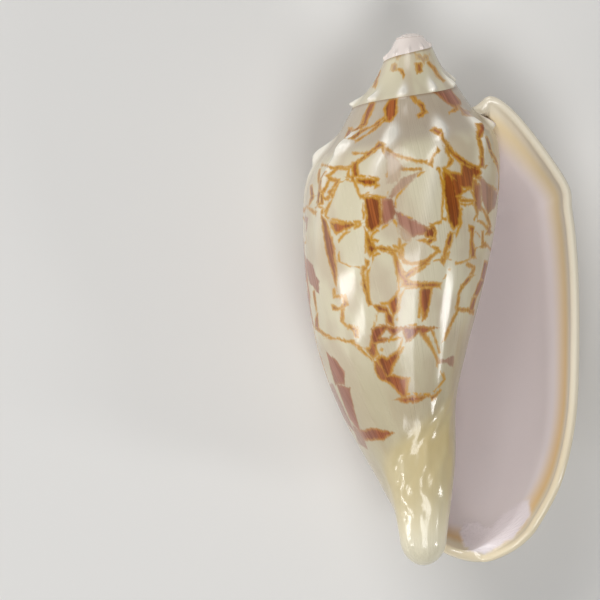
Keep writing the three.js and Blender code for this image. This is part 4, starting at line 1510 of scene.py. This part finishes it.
# Looks square on to the shell's axis, as the photograph's view of the mouth does.
def add_camera(offset):
    lean = radians(VENTRAL["lean"])
    right = np.array([cos(lean), 0, -sin(lean)])
    up = np.array([sin(lean), 0, cos(lean)])
    back = np.array([0, -1, 0])
    across = (IMAGE / 2 - VENTRAL["apex"][0]) / PIXELS_PER_MM
    below = (IMAGE / 2 - VENTRAL["apex"][1]) / PIXELS_PER_MM
    target = np.array([0, 0, SHELL_LENGTH]) + right * across - up * below
    place = (REST @ (target + back * CAMERA_DISTANCE) + offset) / METRE
    data = bpy.data.cameras.new("camera")
    data.sensor_width = SENSOR
    data.lens = PIXELS_PER_MM * CAMERA_DISTANCE * SENSOR / IMAGE
    data.clip_end = CAMERA_REACH
    camera = bpy.data.objects.new("camera", data)
    axes = Matrix(np.stack([REST @ right, REST @ up, REST @ back], axis=1).tolist())
    camera.matrix_world = Matrix.Translation(Vector(place)) @ axes.to_4x4()
    bpy.context.scene.collection.objects.link(camera)
    bpy.context.scene.camera = camera


def add_floor():
    data = bpy.data.meshes.new("floor")
    sides = [(-1, -1), (1, -1), (1, 1), (-1, 1)]
    corners = [(x * STAGE_SIDE, y * STAGE_SIDE, 0) for x, y in sides]
    data.from_pydata(corners, [], [(0, 1, 2, 3)])
    data.materials.append(floor_material())
    floor = bpy.data.objects.new("floor", data)
    bpy.context.scene.collection.objects.link(floor)


# Lights: the place and the size in metres, and the power in watts. All face the shell.
LIGHTS = {
    "left": ((-0.56, -0.14, 0.12), (0.06, 0.2), 0.6),
    "left_front": ((-0.5, -0.24, 0.23), (0.06, 0.2), 0.4),
    "right": ((0.48, -0.23, 0.28), (0.07, 0.14), 0.6),
    "above": ((-0.36, 0.6, 0.62), (0.6, 0.6), 4.8),
    "front": ((0.0, -0.37, 0.93), (0.4, 0.4), 4.0),
}
WORLD_STRENGTH = 0.4


def add_light(name, place, size, power):
    data = bpy.data.lights.new(name, "AREA")
    data.shape = "RECTANGLE"
    data.size = size[0]
    data.size_y = size[1]
    data.energy = power
    light = bpy.data.objects.new(name, data)
    light.location = place
    light.rotation_euler = Vector(place).to_track_quat("Z", "Y").to_euler()
    bpy.context.scene.collection.objects.link(light)


offset = add_shell()
add_camera(offset)
add_floor()
for name, settings in LIGHTS.items():
    add_light(name, *settings)
world = bpy.data.worlds.new("world")
world.use_nodes = True
world.node_tree.nodes["Background"].inputs["Strength"].default_value = WORLD_STRENGTH
bpy.context.scene.world = world
bpy.context.scene.view_settings.view_transform = "Standard"
